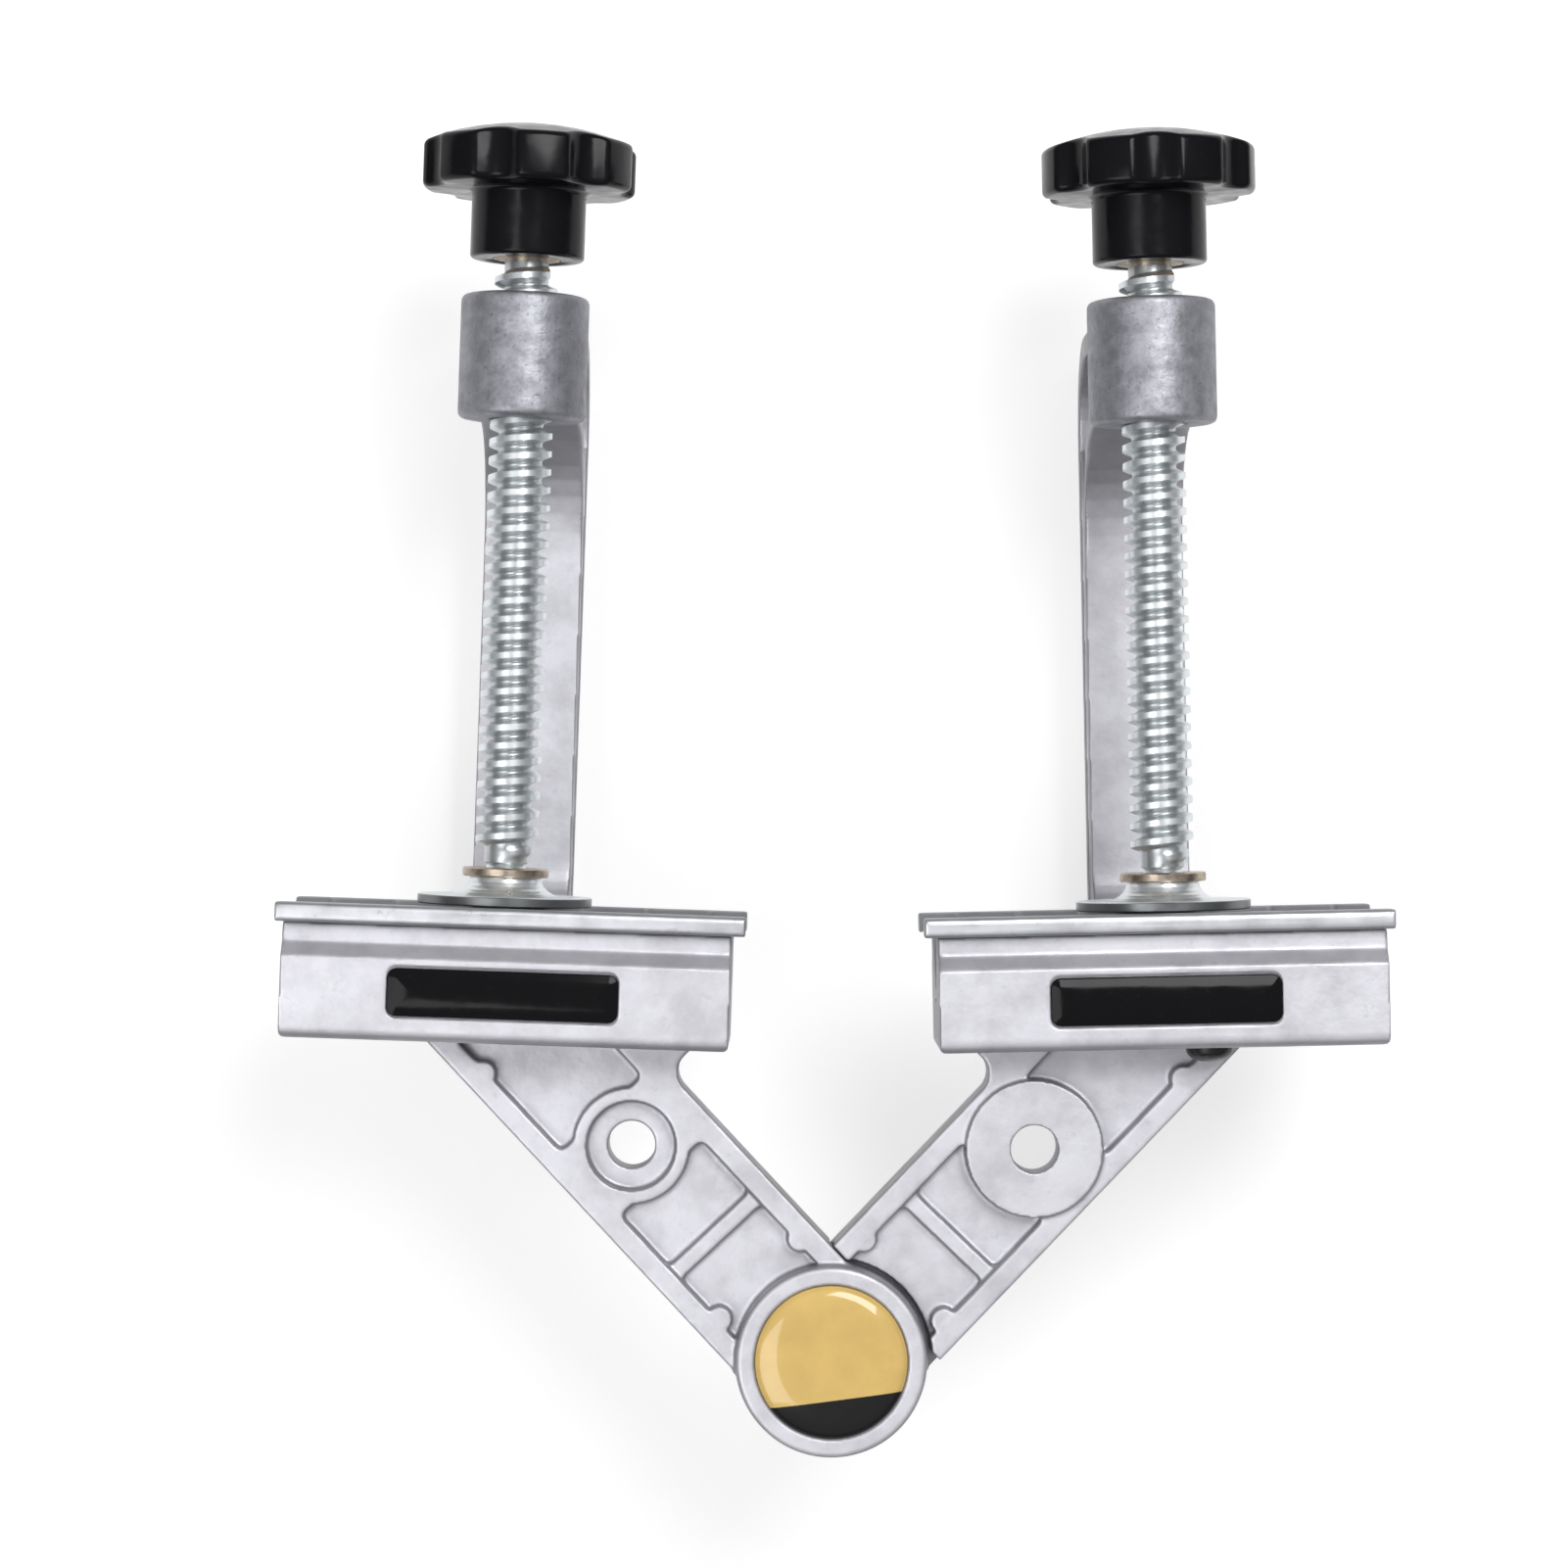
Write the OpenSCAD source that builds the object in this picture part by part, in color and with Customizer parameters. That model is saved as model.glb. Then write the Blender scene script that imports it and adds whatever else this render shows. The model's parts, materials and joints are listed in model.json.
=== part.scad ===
// Corner clamp for two round tubes: two C-shaped clamp frames with V jaws and screw spindles,
// each on a ribbed arm, hinged on one pivot bolt. It lies on the flat backs of its two frames.
// Each half is drawn in its own frame: origin on the pivot axis, x away from the other half,
// y towards the knobs, z towards the side with the round cap, z = 0 in the spindle plane.

/* [Layout] */
// Lean of each half about the pivot when the arms touch, in degrees
half_tilt = 1.6; // [0:0.1:4]
// Distance of the spindle axis from the pivot axis
spindle_x = 76; // [70:0.5:90]
// Height of the jaw's underside above the pivot axis
jaw_y = 68; // [60:0.5:80]
// Clear depth of the frame from the spindle axis to the spine
throat_depth = 58; // [50:1:80]
// Clear height of the frame from the jaw's lips to the boss
throat_height = 108; // [95:1:160]

/* [Jaw] */
// Length of the jaw block along the tube
jaw_length = 98; // [80:1:110]
// Height of the jaw from its underside to the top of the lips
jaw_height = 29.6; // [28:0.2:36]
// Depth of the jaw block from front to back
jaw_depth = 44; // [42:1:56]
// How far the neck under the lips is set back from the block's face
neck_inset = 2.5; // [1:0.5:4]
// Height of the neck
neck_height = 4.1; // [3:0.1:6]
// Height of the slope between the neck and the block's face
slope_height = 3.3; // [2:0.1:5]
// Radius along the block's lower edges
jaw_edge_r = 2.6; // [1:0.1:4]
// Radius of the block's lower corners, seen from the front
jaw_corner_r = 1.2; // [0.5:0.1:3]
// How far the jaw's middle lies from the spindle axis, towards the pivot
jaw_shift = 2; // [0:0.5:4]

/* [V plate] */
// Width of the V at its mouth
v_opening = 36; // [30:0.5:37]
// Thickness of the V plate
v_plate_t = 2.5; // [2:0.1:3]
// Width of the flat at the bottom of the V
v_flat = 3; // [2:0.5:6]
// Height of the two lips
lip_height = 4.3; // [3.5:0.1:5.5]
// Depth from the outside of one lip to the outside of the other
lip_depth = 47; // [45:0.5:58]
// How far the lips stand past the jaw block's inner end
lip_over_inner = 2.9; // [0:0.1:5]
// How far the lips stand past the jaw block's outer end
lip_over_outer = 1.4; // [0:0.1:5]
// Radius along the lips' outer edges
lip_edge_r = 1.1; // [0.4:0.1:1.6]
// Distance between the grip grooves across the V
groove_pitch = 14.3; // [10:0.1:24]
// Width of a grip groove
groove_w = 1.2; // [0.8:0.1:2]
// Depth of a grip groove
groove_d = 0.6; // [0.3:0.1:1]

/* [Spine] */
// Width of the spine
spine_w = 23; // [18:0.5:26]
// Thickness of the spine
spine_t = 18; // [16:0.5:26]
// Thickness of the bar that joins the spine to the jaw
lower_bar_t = 17.5; // [14:0.5:20]
// How far the jaw bar's top lies below the lips
bar_drop = 0.8; // [0.4:0.1:3]
// How far the boss stands past its bar at each end
boss_over = 2.2; // [1:0.2:4]
// Radius between the spine and the boss bar, inside the C
upper_inner_r = 28; // [16:1:34]
// Radius between the spine and the jaw bar, inside the C
lower_inner_r = 14; // [8:1:20]
// Radius of the upper outer corner
upper_outer_r = 24; // [12:1:30]
// Radius of the lower outer corner
lower_outer_r = 12; // [9:1:14]
// Width of the flange around the side recesses
flange_w = 5; // [3.5:0.5:6]
// Depth of each side recess
side_recess = 4; // [2:0.5:6]

/* [Boss] */
// Diameter of the spindle boss
boss_d = 28.5; // [26:0.5:36]
// Length of the spindle boss
boss_length = 27.5; // [24:0.5:40]
// Radius around the boss's ends
boss_edge_r = 1.4; // [0.6:0.1:2.5]

/* [Spindle] */
// Outer diameter of the spindle's thread
thread_d = 14; // [12:0.5:18]
// Pitch of the thread
thread_pitch = 4; // [3:0.5:5]
// Depth of the thread
thread_depth = 2.1; // [1.4:0.1:2.4]
// Diameter of the plain shank in the knob
shank_d = 9.4; // [8:0.2:10]
// Diameter of the neck above the ball
neck_d = 7.6; // [6:0.2:8]
// Length of plain neck between the retaining ring and the thread
neck_clear = 1.2; // [0.6:0.1:3]
// Diameter of the ball
ball_d = 10; // [9:0.2:11]

/* [Pad] */
// Diameter of the pad's disc
pad_d = 38.7; // [38:0.5:46]
// Thickness of the pad's disc
pad_disc_t = 2.2; // [1.6:0.1:4]
// Diameter of the cup where it meets the disc
cup_base_d = 26.2; // [22:0.2:30]
// Diameter of the cup at its top
cup_top_d = 16; // [15:0.2:18]
// Height of the cup above the disc
cup_height = 4; // [3.6:0.1:6]
// Diameter of the retaining ring
pad_ring_d = 19.2; // [17.5:0.2:22]
// Thickness of the retaining ring
pad_ring_t = 2; // [1.5:0.1:3]
// Gap round the neck in the retaining ring
pad_ring_gap = 0.6; // [0.4:0.1:1.2]
// Chamfer along the pad's edges
pad_edge = 0.3; // [0.1:0.1:0.6]
// Floor left under the ball
socket_floor = 1.1; // [0.8:0.1:1.6]

/* [Knob] */
// Diameter over the lobes
knob_d = 47.4; // [40:0.2:60]
// Number of lobes
knob_lobes = 7; // [5:1:9]
// Radius of the hollow between two lobes
scallop_r = 6.5; // [5:0.5:9]
// Depth of the hollow between two lobes
scallop_depth = 2.6; // [1.5:0.1:4]
// Thickness of the knob's disc at its rim
knob_rim_t = 10.2; // [8:0.2:14]
// Rise of the dome over the rim
knob_dome = 4.6; // [2:0.2:7]
// Radius around the rim's edges
knob_edge_r = 1.2; // [0.6:0.1:2]
// Diameter of the knob's hub
hub_d = 25.4; // [22:0.2:30]
// Length of the knob's hub
hub_length = 15; // [12:0.5:20]
// Gap between the boss and the hub with the pad on the jaw
knob_gap = 8.2; // [6:0.2:20]
// Turn of the left knob against the right one, in degrees
left_knob_turn = 15; // [0:1:50]
// Diameter of the threaded insert in the hub
insert_d = 15; // [12:0.2:18]
// Length of the threaded insert
insert_length = 13; // [9:0.5:16]
// Chamfer around the hub's lower end
hub_edge = 0.6; // [0.3:0.1:1.2]

/* [Arm] */
// Angle between the arm and the jaw, in degrees
arm_angle = 45; // [42:0.5:48]
// Width of the arm
arm_w = 34.6; // [32:0.2:36]
// Thickness of the arm
arm_t = 14; // [12:0.5:18]
// Depth of the pockets in each side of the arm
pocket_depth = 3.8; // [2:0.2:4.6]
// Width of the rims beside the pockets
rim_w = 5; // [4:0.1:7]
// Radius in the pockets' corners
pocket_r = 1.6; // [0.8:0.1:3]
// Distance from the pivot to the cross rib
rib_s = 37.6; // [34:0.2:40]
// Width of the cross rib
rib_w = 3.7; // [2.5:0.1:6]
// Distance from the pivot to the mounting hole
hole_s = 64.8; // [60:0.2:70]
// Diameter of the mounting hole
hole_d = 10.5; // [8.5:0.5:13]
// Diameter of the counterbore around the mounting hole
counterbore_d = 19.8; // [18:0.2:22]
// Depth of the counterbore
counterbore_depth = 4; // [2:0.2:5]
// Diameter of the boss around the counterbore
hole_boss_d = 25.6; // [24:0.2:30]
// Diameter of the raised disc on the other side of the hole
hole_disc_d = 30.2; // [26:0.2:32]
// Height of the raised disc
hole_disc_h = 1; // [0.4:0.1:2]
// Distance from the pivot to the step where the arm widens under the jaw
flare_s = 71.3; // [70:0.2:78]
// Radius in the corner of that step
flare_r = 5; // [2:0.5:8]
// Thickness of the foot that is let into the jaw's underside
foot_t = 4; // [3:0.2:4.5]
// Depth of the foot from front to back
foot_depth = 35; // [34:0.5:36]
// Reach of the foot from the spindle axis towards the pivot
foot_reach_in = 44; // [42:0.5:46]
// Reach of the foot from the spindle axis away from the pivot
foot_reach_out = 24; // [20:0.5:30]
// Wall left between the pockets and the ring
lug_wall = 0.6; // [0.4:0.1:2]
// How far the pockets beside the mounting hole run into its boss
pocket_over = 3.2; // [2:0.1:4]
// Gap between the pocket's end and the jaw's underside
pocket_end_gap = 2.3; // [1.5:0.1:5]
// Radius of the round ejector spots on the rims
spot_r = 2.8; // [2:0.1:3.5]

/* [Pivot] */
// Radius of the lug that laps over the other arm
lug_r = 21.9; // [20:0.1:24]
// Diameter of the raised ring around the round cap
ring_d = 42.2; // [38:0.2:43]
// Width of the raised ring
ring_w = 4.2; // [3:0.1:6]
// Height of the raised ring over the arm's face
ring_h = 3; // [2:0.1:5]
// Radius around the top of the ring
ring_edge_r = 1; // [0.4:0.1:1.4]
// Depth of the round cap's seat below the top of the ring
seat_depth = 1.3; // [0.8:0.1:2]
// Diameter of the pivot bolt
pivot_d = 8; // [6:0.5:10]
// Width across the flats of the pivot bolt's head and nut
pivot_af = 13; // [12:0.5:14]
// Height of the pivot bolt's head and of its nut
pivot_nut_h = 4; // [3:0.2:5]
// Gap between the nut and the underside of the round cap
nut_clear = 0.7; // [0.3:0.1:1.5]
// Length of thread that stands past the nut
bolt_over = 0.4; // [0.1:0.1:0.6]
// Thickness of the steel washers
washer_t = 1; // [0.6:0.1:1.6]
// Diameter of the steel washers
washer_d = 16; // [15.5:0.2:16.6]
// Diameter of the round pocket for washer and nut
nut_pocket_d = 17; // [16.8:0.2:20]
// Thickness of the friction washer between the lugs
friction_t = 0.5; // [0.3:0.1:1]
// Diameter of the friction washer
friction_d = 36; // [24:1:40]

/* [Screws and labels] */
// Diameter of the screw that holds each arm's foot
screw_d = 6; // [5:0.5:6.5]
// Diameter of the screw's head
screw_head_d = 10.5; // [9:0.5:11]
// Height of the screw's head
screw_head_h = 3.3; // [2.5:0.1:4]
// Width across the flats of the screw's socket
screw_socket = 4; // [3:0.5:5]
// Gap between the screw's head and the arm
screw_clear = 0.3; // [0.1:0.1:1]
// Depth of the screw's tip above the foot
screw_bite = 9; // [6:0.5:10]
// Distance of the screw from the spindle axis, away from the pivot
screw_out = 8.4; // [4:0.2:12]
// Length of the label on the jaw
label_length = 50.4; // [30:0.2:70]
// Height of the label on the jaw
label_height = 11.5; // [8:0.1:12]
// Height of the label's middle above the jaw's underside
label_y = 10.8; // [8:0.1:11]
// Distance of the label's middle from the jaw's middle, away from the pivot
label_out = 0.4; // [0:0.1:4]
// Radius of the label's corners
label_r = 2.2; // [1:0.1:4]
// Thickness of the label at its edge
label_t = 0.9; // [0.6:0.1:1.5]
// Rise of the label's domed face
label_dome = 0.9; // [0.3:0.1:1.5]
// Depth of the label's seat
label_seat = 0.5; // [0.3:0.1:0.6]
// Rise of the round cap's domed face
cap_dome = 1.4; // [0.5:0.1:2.5]

/* [Fits] */
// Gap between parts that are fixed together
fit_gap = 0.1; // [0.05:0.01:0.2]
// Radial clearance of parts that turn or slide in each other
run_gap = 0.1; // [0.05:0.01:0.2]
// Gap between the pad and the jaw's lips when closed
rest_gap = 0.2; // [0.1:0.05:0.4]
// Gap between the arms when they are closed
stop_gap = 0.3; // [0.2:0.05:0.6]
// Gap between a lug and the recess in the other arm
lug_gap = 0.5; // [0.3:0.1:1]

/* [Hidden] */
$fn = 48;
eps = 0.01;
// Length that reaches past the part
far = 100;
// Heights in each half's frame
lip_top = jaw_y + jaw_height;
neck_top = lip_top - lip_height;
jaw_x = spindle_x - jaw_shift;
boss_low = lip_top + throat_height;
boss_top = boss_low + boss_length;
bar_low = boss_low + boss_over;
bar_top = boss_top - boss_over;
lower_bar_top = neck_top - bar_drop;
hub_low = boss_top + knob_gap;
rim_low = hub_low + hub_length;
rim_top = rim_low + knob_rim_t;
pad_y = lip_top + rest_gap;
ball_y = pad_y + socket_floor + ball_d / 2 + run_gap;
cup_top_y = pad_y + pad_disc_t + cup_height;
pad_ring_y = cup_top_y + fit_gap;
thread_low = pad_ring_y + pad_ring_t + neck_clear;
// Half widths of the thread's ridge at its crest and at its root, as shares of the pitch
crest_share = 0.17;
root_share = 0.36;
// Radii and half sizes
thread_r = thread_d / 2;
knob_r = knob_d / 2;
ring_r = ring_d / 2;
cap_r = ring_r - ring_w - fit_gap;
half_w = arm_w / 2;
half_t = arm_t / 2;
foot_side = foot_depth / 2;
block_side = jaw_depth / 2;
// The V: half its mouth, the depth down to its flat, and the same for the plate's underside
v_half = v_opening / 2;
v_low = lip_top - v_half + v_flat / 2;
v_under = v_low - v_plate_t;
v_under_half = v_flat / 2 + v_plate_t * (sqrt(2) - 1);
// The lap at the pivot: half the gap between the lugs
lap_half = (friction_t + fit_gap) / 2;
recess_r = lug_r + lug_gap;
// Angle between the two arms when closed, and its supplement
arms_between = 180 - 2 * (arm_angle + half_tilt);
open_angle = 180;
nut_floor = half_t + ring_h - seat_depth - nut_clear - pivot_nut_h - washer_t;
// The knob's dome is part of a sphere
dome_r = (pow(knob_r, 2) + pow(knob_dome, 2)) / (2 * knob_dome);
dome_centre = rim_top + knob_dome - dome_r;
// Distance from the pivot to the jaw's underside along the arm, and its shift across the arm
jaw_line = jaw_y / sin(arm_angle);
slant = 1 / tan(arm_angle);
// Round spots where the casting was pushed out of its mould
spots = [
  [lug_r + 2.4, half_w - 4],
  [lug_r + 1.6, -half_w + 5.4],
  [hole_s + 4.3, half_w - 5],
  [jaw_line + 2.6, -half_w + 4.2]
];
// Where the whole clamp's box has its middle
top_y = spindle_x * sin(half_tilt) + dome_centre * cos(half_tilt) + dome_r;
mid_y = (top_y - lug_r) / 2;
axis_z = throat_depth + spine_t;

// Moves what stands on the pivot axis into the clamp's own frame
module at_pivot() {
  translate([0, -mid_y, axis_z]) children();
}

// Places a right half's piece
module right_half() {
  at_pivot() rotate([0, 0, half_tilt]) children();
}

// Places the mirror image of a right half's piece
module left_half() {
  at_pivot() mirror([1, 0, 0]) rotate([0, 0, half_tilt]) children();
}

// Turns a right half's piece over, front to back, onto the left half
module left_half_turned() {
  at_pivot() rotate([0, 0, -half_tilt]) rotate([0, 180, 0]) children();
}

// Stands a piece that is drawn along z on the spindle axis, at a height y
module on_spindle(y) {
  translate([spindle_x, y, 0]) rotate([-90, 0, 0]) children();
}

// Lays a section drawn in (depth, height) along x, centred on x = at
module along_jaw(at, length) {
  translate([at - length / 2, 0, 0])
    multmatrix([[0, 0, 1, 0], [0, 1, 0, 0], [-1, 0, 0, 0], [0, 0, 0, 1]])
      linear_extrude(length) children();
}

// A rectangle from one corner to the other, with round corners
module round_box(low, high, r) {
  size = high - low;
  translate(low + [r, 0]) square([size.x - 2 * r, size.y]);
  translate(low + [0, r]) square([size.x, size.y - 2 * r]);
  for (x = [low.x + r, high.x - r])
    for (y = [low.y + r, high.y - r])
      translate([x, y]) circle(r);
}

function unit(v) = v / norm(v);

// The arc that rounds corner b between its neighbours a and c
function corner_arc(a, b, c, r, steps) =
  let (
    to_a = unit(a - b),
    to_c = unit(c - b),
    half = acos(to_a * to_c) / 2,
    centre = b + unit(to_a + to_c) * r / sin(half),
    start = b + to_a * r / tan(half) - centre,
    end = b + to_c * r / tan(half) - centre,
    from = atan2(start.y, start.x),
    turn = (atan2(end.y, end.x) - from + 540) % 360 - 180
  )
  [for (i = [0:steps]) centre + r * [cos(from + turn * i / steps), sin(from + turn * i / steps)]];

// An outline whose corners are given as [x, y, radius], with a radius of 0 for a sharp one
function rounded(corners, steps = 5) =
  let (n = len(corners), p = [for (c = corners) [c.x, c.y]])
  [for (i = [0:n - 1]) each
    corners[i][2] == 0 ? [p[i]] : corner_arc(p[(i + n - 1) % n], p[i], p[(i + 1) % n], corners[i][2], steps)];

// A quarter of a ring of points, for a profile's round edge
function round_edge(centre, r, from, to, steps = 5) =
  [for (i = [0:steps]) let (a = from + (to - from) * i / steps) centre + r * [cos(a), sin(a)]];

// Clamp frame: jaw block, spine and boss in one casting

// The block's section in (depth, height), open above for the V plate
module block_section() {
  shoulder_y = neck_top - neck_height - slope_height;
  neck_side = block_side - neck_inset;
  floor_half = v_under_half + fit_gap;
  floor_y = v_under - fit_gap;
  rise = neck_top - fit_gap - floor_y;
  polygon(rounded([
    [-block_side, jaw_y, jaw_edge_r],
    [block_side, jaw_y, jaw_edge_r],
    [block_side, shoulder_y, 0],
    [neck_side, shoulder_y + slope_height, 0],
    [neck_side, neck_top - fit_gap, 0],
    [floor_half + rise, neck_top - fit_gap, 0],
    [floor_half, floor_y, 0],
    [-floor_half, floor_y, 0],
    [-floor_half - rise, neck_top - fit_gap, 0],
    [-neck_side, neck_top - fit_gap, 0],
    [-neck_side, shoulder_y + slope_height, 0],
    [-block_side, shoulder_y, 0]
  ]));
}

module jaw_block() {
  intersection() {
    along_jaw(jaw_x, jaw_length) block_section();
    translate([0, 0, -jaw_depth])
      linear_extrude(2 * jaw_depth)
        round_box(
          [jaw_x - jaw_length / 2, jaw_y],
          [jaw_x + jaw_length / 2, lip_top + far],
          jaw_corner_r
        );
  }
}

// The C in (height, depth), with an outline set in by the given amount
module c_outline(inset, jaw_end, boss_end) {
  back = -throat_depth - spine_t + inset;
  front = -throat_depth - inset;
  low = lower_bar_top - lower_bar_t + inset;
  difference() {
    polygon(rounded([
      [low, jaw_end, 0],
      [low, back, lower_outer_r - inset],
      [bar_top - inset, back, upper_outer_r - inset],
      [bar_top - inset, boss_end, 0]
    ], 10));
    polygon(rounded([
      [lower_bar_top - inset, far, 0],
      [lower_bar_top - inset, front, lower_inner_r + inset],
      [bar_low + inset, front, upper_inner_r + inset],
      [bar_low + inset, far, 0]
    ], 10));
    translate([lower_bar_top - inset, jaw_end]) square([bar_low - lower_bar_top + 2 * inset, far]);
  }
}

// Extrudes an outline in (height, depth) across the spine's width
module across_spine(width) {
  translate([spindle_x - width / 2, 0, 0])
    multmatrix([[0, 0, 1, 0], [1, 0, 0, 0], [0, 1, 0, 0], [0, 0, 0, 1]])
      linear_extrude(width) children();
}

module side_recesses() {
  for (side = [-1, 1])
    translate([side * (spine_w - side_recess + 1) / 2, 0, 0])
      across_spine(side_recess + 1)
        c_outline(flange_w, -block_side - flange_w, -boss_d / 2 - flange_w);
}

module boss_profile() {
  r = boss_d / 2;
  polygon(concat(
    [[0, 0]],
    round_edge([r - boss_edge_r, boss_edge_r], boss_edge_r, -90, 0),
    round_edge([r - boss_edge_r, boss_length - boss_edge_r], boss_edge_r, 0, 90),
    [[0, boss_length]]
  ));
}

module foot_shape(gap) {
  translate([spindle_x - foot_reach_in - gap, jaw_y, -foot_side - gap])
    cube([foot_reach_in + foot_reach_out + 2 * gap, foot_t + gap, foot_depth + 2 * gap]);
}

module screw_axis() {
  translate([spindle_x + screw_out, jaw_y, half_t + screw_head_d / 2 + screw_clear])
    rotate([-90, 0, 0]) children();
}

module clamp_frame(turned) {
  color("lightgray")
    difference() {
      union() {
        jaw_block();
        difference() {
          across_spine(spine_w) c_outline(0, -block_side + 1, 0);
          side_recesses();
        }
        on_spindle(boss_low) rotate_extrude() boss_profile();
      }
      on_spindle(boss_low - 1) cylinder(h = boss_length + 2, d = thread_d + 2 * run_gap);
      translate([0, -eps, 0]) foot_shape(fit_gap);
      on_screw_side(turned)
        screw_axis() translate([0, 0, foot_t]) cylinder(h = screw_bite + 1, d = screw_d + fit_gap);
      label_seat_cut();
    }
}

// Puts a piece on the rear side where turned is true
module on_screw_side(turned) {
  if (turned) mirror([0, 0, 1]) children();
  else children();
}

module at_label() {
  translate([jaw_x + label_out, jaw_y + label_y, block_side]) children();
}

module label_seat_cut() {
  size = [label_length, label_height] / 2 + [fit_gap, fit_gap];
  at_label()
    translate([0, 0, -label_seat])
      linear_extrude(label_seat + 1) round_box(-size, size, label_r);
}

// V plate: the hardened liner with its two lips

module v_plate_section() {
  side = lip_depth / 2;
  under_rise = neck_top - v_under;
  polygon(rounded([
    [-side, lip_top, lip_edge_r],
    [-side, neck_top, lip_edge_r],
    [-v_under_half - under_rise, neck_top, 0],
    [-v_under_half, v_under, 0],
    [v_under_half, v_under, 0],
    [v_under_half + under_rise, neck_top, 0],
    [side, neck_top, lip_edge_r],
    [side, lip_top, lip_edge_r],
    [v_half, lip_top, 0],
    [v_flat / 2, v_low, 0],
    [-v_flat / 2, v_low, 0],
    [-v_half, lip_top, 0]
  ], 4));
}

// A grip groove, cut across both sides of the V and a little into the lips
module grip_groove() {
  polygon([
    [-v_flat / 2 - groove_d, v_low],
    [-v_half - groove_d, lip_top + eps],
    [v_half + groove_d, lip_top + eps],
    [v_flat / 2 + groove_d, v_low]
  ]);
}

module v_plate() {
  low = jaw_x - jaw_length / 2 - lip_over_inner;
  high = jaw_x + jaw_length / 2 + lip_over_outer;
  middle = (low + high) / 2;
  count = floor((high - low - groove_pitch) / groove_pitch / 2);
  color("silver")
    difference() {
      along_jaw(middle, high - low) v_plate_section();
      for (i = [-count:count])
        along_jaw(middle + i * groove_pitch, groove_w) grip_groove();
    }
}

// Spindle: trapezoidal thread, shank, neck and ball

module spindle() {
  root_r = thread_r - thread_depth;
  // Each ridge of the thread is drawn as a ring with sloping flanks
  crest_half = thread_pitch * crest_share;
  root_half = thread_pitch * root_share;
  turns = floor((hub_low - 1 - thread_low) / thread_pitch);
  top = hub_low + insert_length;
  color("silver")
    on_spindle(0) {
      rotate_extrude()
        polygon(concat(
          [[0, ball_y], [neck_d / 2, ball_y], [neck_d / 2, thread_low]],
          [for (i = [0:turns - 1])
            let (y = thread_low + (i + 0.5) * thread_pitch)
            each [[root_r, y - root_half], [thread_r, y - crest_half], [thread_r, y + crest_half], [root_r, y + root_half]]],
          [[root_r, hub_low - hub_edge], [shank_d / 2, hub_low], [shank_d / 2, top], [0, top]]
        ));
      translate([0, 0, ball_y]) sphere(d = ball_d);
    }
}

// Pad: disc with a flared cup that holds the ball

module pad() {
  flare_r = (cup_base_d - cup_top_d) / 2;
  color("lightsteelblue")
    on_spindle(pad_y)
      difference() {
        rotate_extrude()
          polygon(concat(
            [[0, 0], [pad_d / 2 - pad_edge, 0], [pad_d / 2, pad_edge], [pad_d / 2, pad_disc_t - pad_edge]],
            [[pad_d / 2 - pad_edge, pad_disc_t], [cup_base_d / 2, pad_disc_t]],
            [for (i = [1:6])
              let (a = i * 15)
              [cup_base_d / 2 - flare_r * sin(a), pad_disc_t + cup_height * (1 - cos(a))]],
            [[0, pad_disc_t + cup_height]]
          ));
        translate([0, 0, ball_y - pad_y]) {
          sphere(d = ball_d + 2 * run_gap);
          cylinder(h = cup_height + pad_disc_t, d = ball_d + 2 * run_gap);
        }
      }
}

// The ring closes over the upper half of the ball
module pad_ring() {
  color("rosybrown")
    on_spindle(pad_ring_y)
      difference() {
        rotate_extrude()
          polygon([
            [neck_d / 2 + pad_ring_gap, 0],
            [pad_ring_d / 2 - pad_edge, 0],
            [pad_ring_d / 2, pad_edge],
            [pad_ring_d / 2, pad_ring_t - pad_edge],
            [pad_ring_d / 2 - pad_edge, pad_ring_t],
            [neck_d / 2 + pad_ring_gap, pad_ring_t]
          ]);
        translate([0, 0, ball_y - pad_ring_y]) sphere(d = ball_d + 2 * run_gap);
      }
}

// Knob: domed disc with lobes over a round hub

module knob_profile() {
  rim_dome = sqrt(pow(dome_r, 2) - pow(knob_r, 2));
  dome_half = asin((knob_r - knob_edge_r) / dome_r);
  polygon(concat(
    [[0, hub_low], [hub_d / 2 - hub_edge, hub_low], [hub_d / 2, hub_low + hub_edge], [hub_d / 2, rim_low]],
    round_edge([knob_r - knob_edge_r, rim_low + knob_edge_r], knob_edge_r, -90, 0),
    round_edge([knob_r - knob_edge_r, rim_top - knob_edge_r / 2], knob_edge_r, 0, 70),
    [for (i = [1:8])
      let (a = dome_half * (1 - i / 8))
      [dome_r * sin(a), dome_centre + dome_r * cos(a)]]
  ));
}

module knob(turn) {
  reach = knob_r + scallop_r - scallop_depth;
  color("black")
    on_spindle(0)
      difference() {
        rotate_extrude() knob_profile();
        for (i = [0:knob_lobes - 1])
          rotate([0, 0, 270 + turn + i * 360 / knob_lobes])
            translate([reach, 0, rim_low - 1])
              cylinder(h = knob_rim_t + knob_dome + 2, r = scallop_r);
        translate([0, 0, hub_low - eps]) cylinder(h = insert_length + 1, d = insert_d + fit_gap);
      }
}

module knob_insert() {
  color("goldenrod")
    on_spindle(hub_low)
      difference() {
        cylinder(h = insert_length, d = insert_d);
        translate([0, 0, -1]) cylinder(h = insert_length + 2, d = shank_d + fit_gap);
      }
}

// Arm: ribbed casting with lug, mounting hole and foot. Drawn as the right arm, along its own
// length from the pivot: the side with the raised disc is up, the side with the ring is down

module arm_outline() {
  // The outline runs a little into the foot
  reach = jaw_line + foot_t / 8;
  polygon(rounded([
    [0, -half_w, 0],
    [reach + half_w * slant, -half_w, 0],
    [flare_s, (reach - flare_s) / slant, 0],
    [flare_s, half_w, flare_r],
    [0, half_w, 0]
  ], 8));
}

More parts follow.
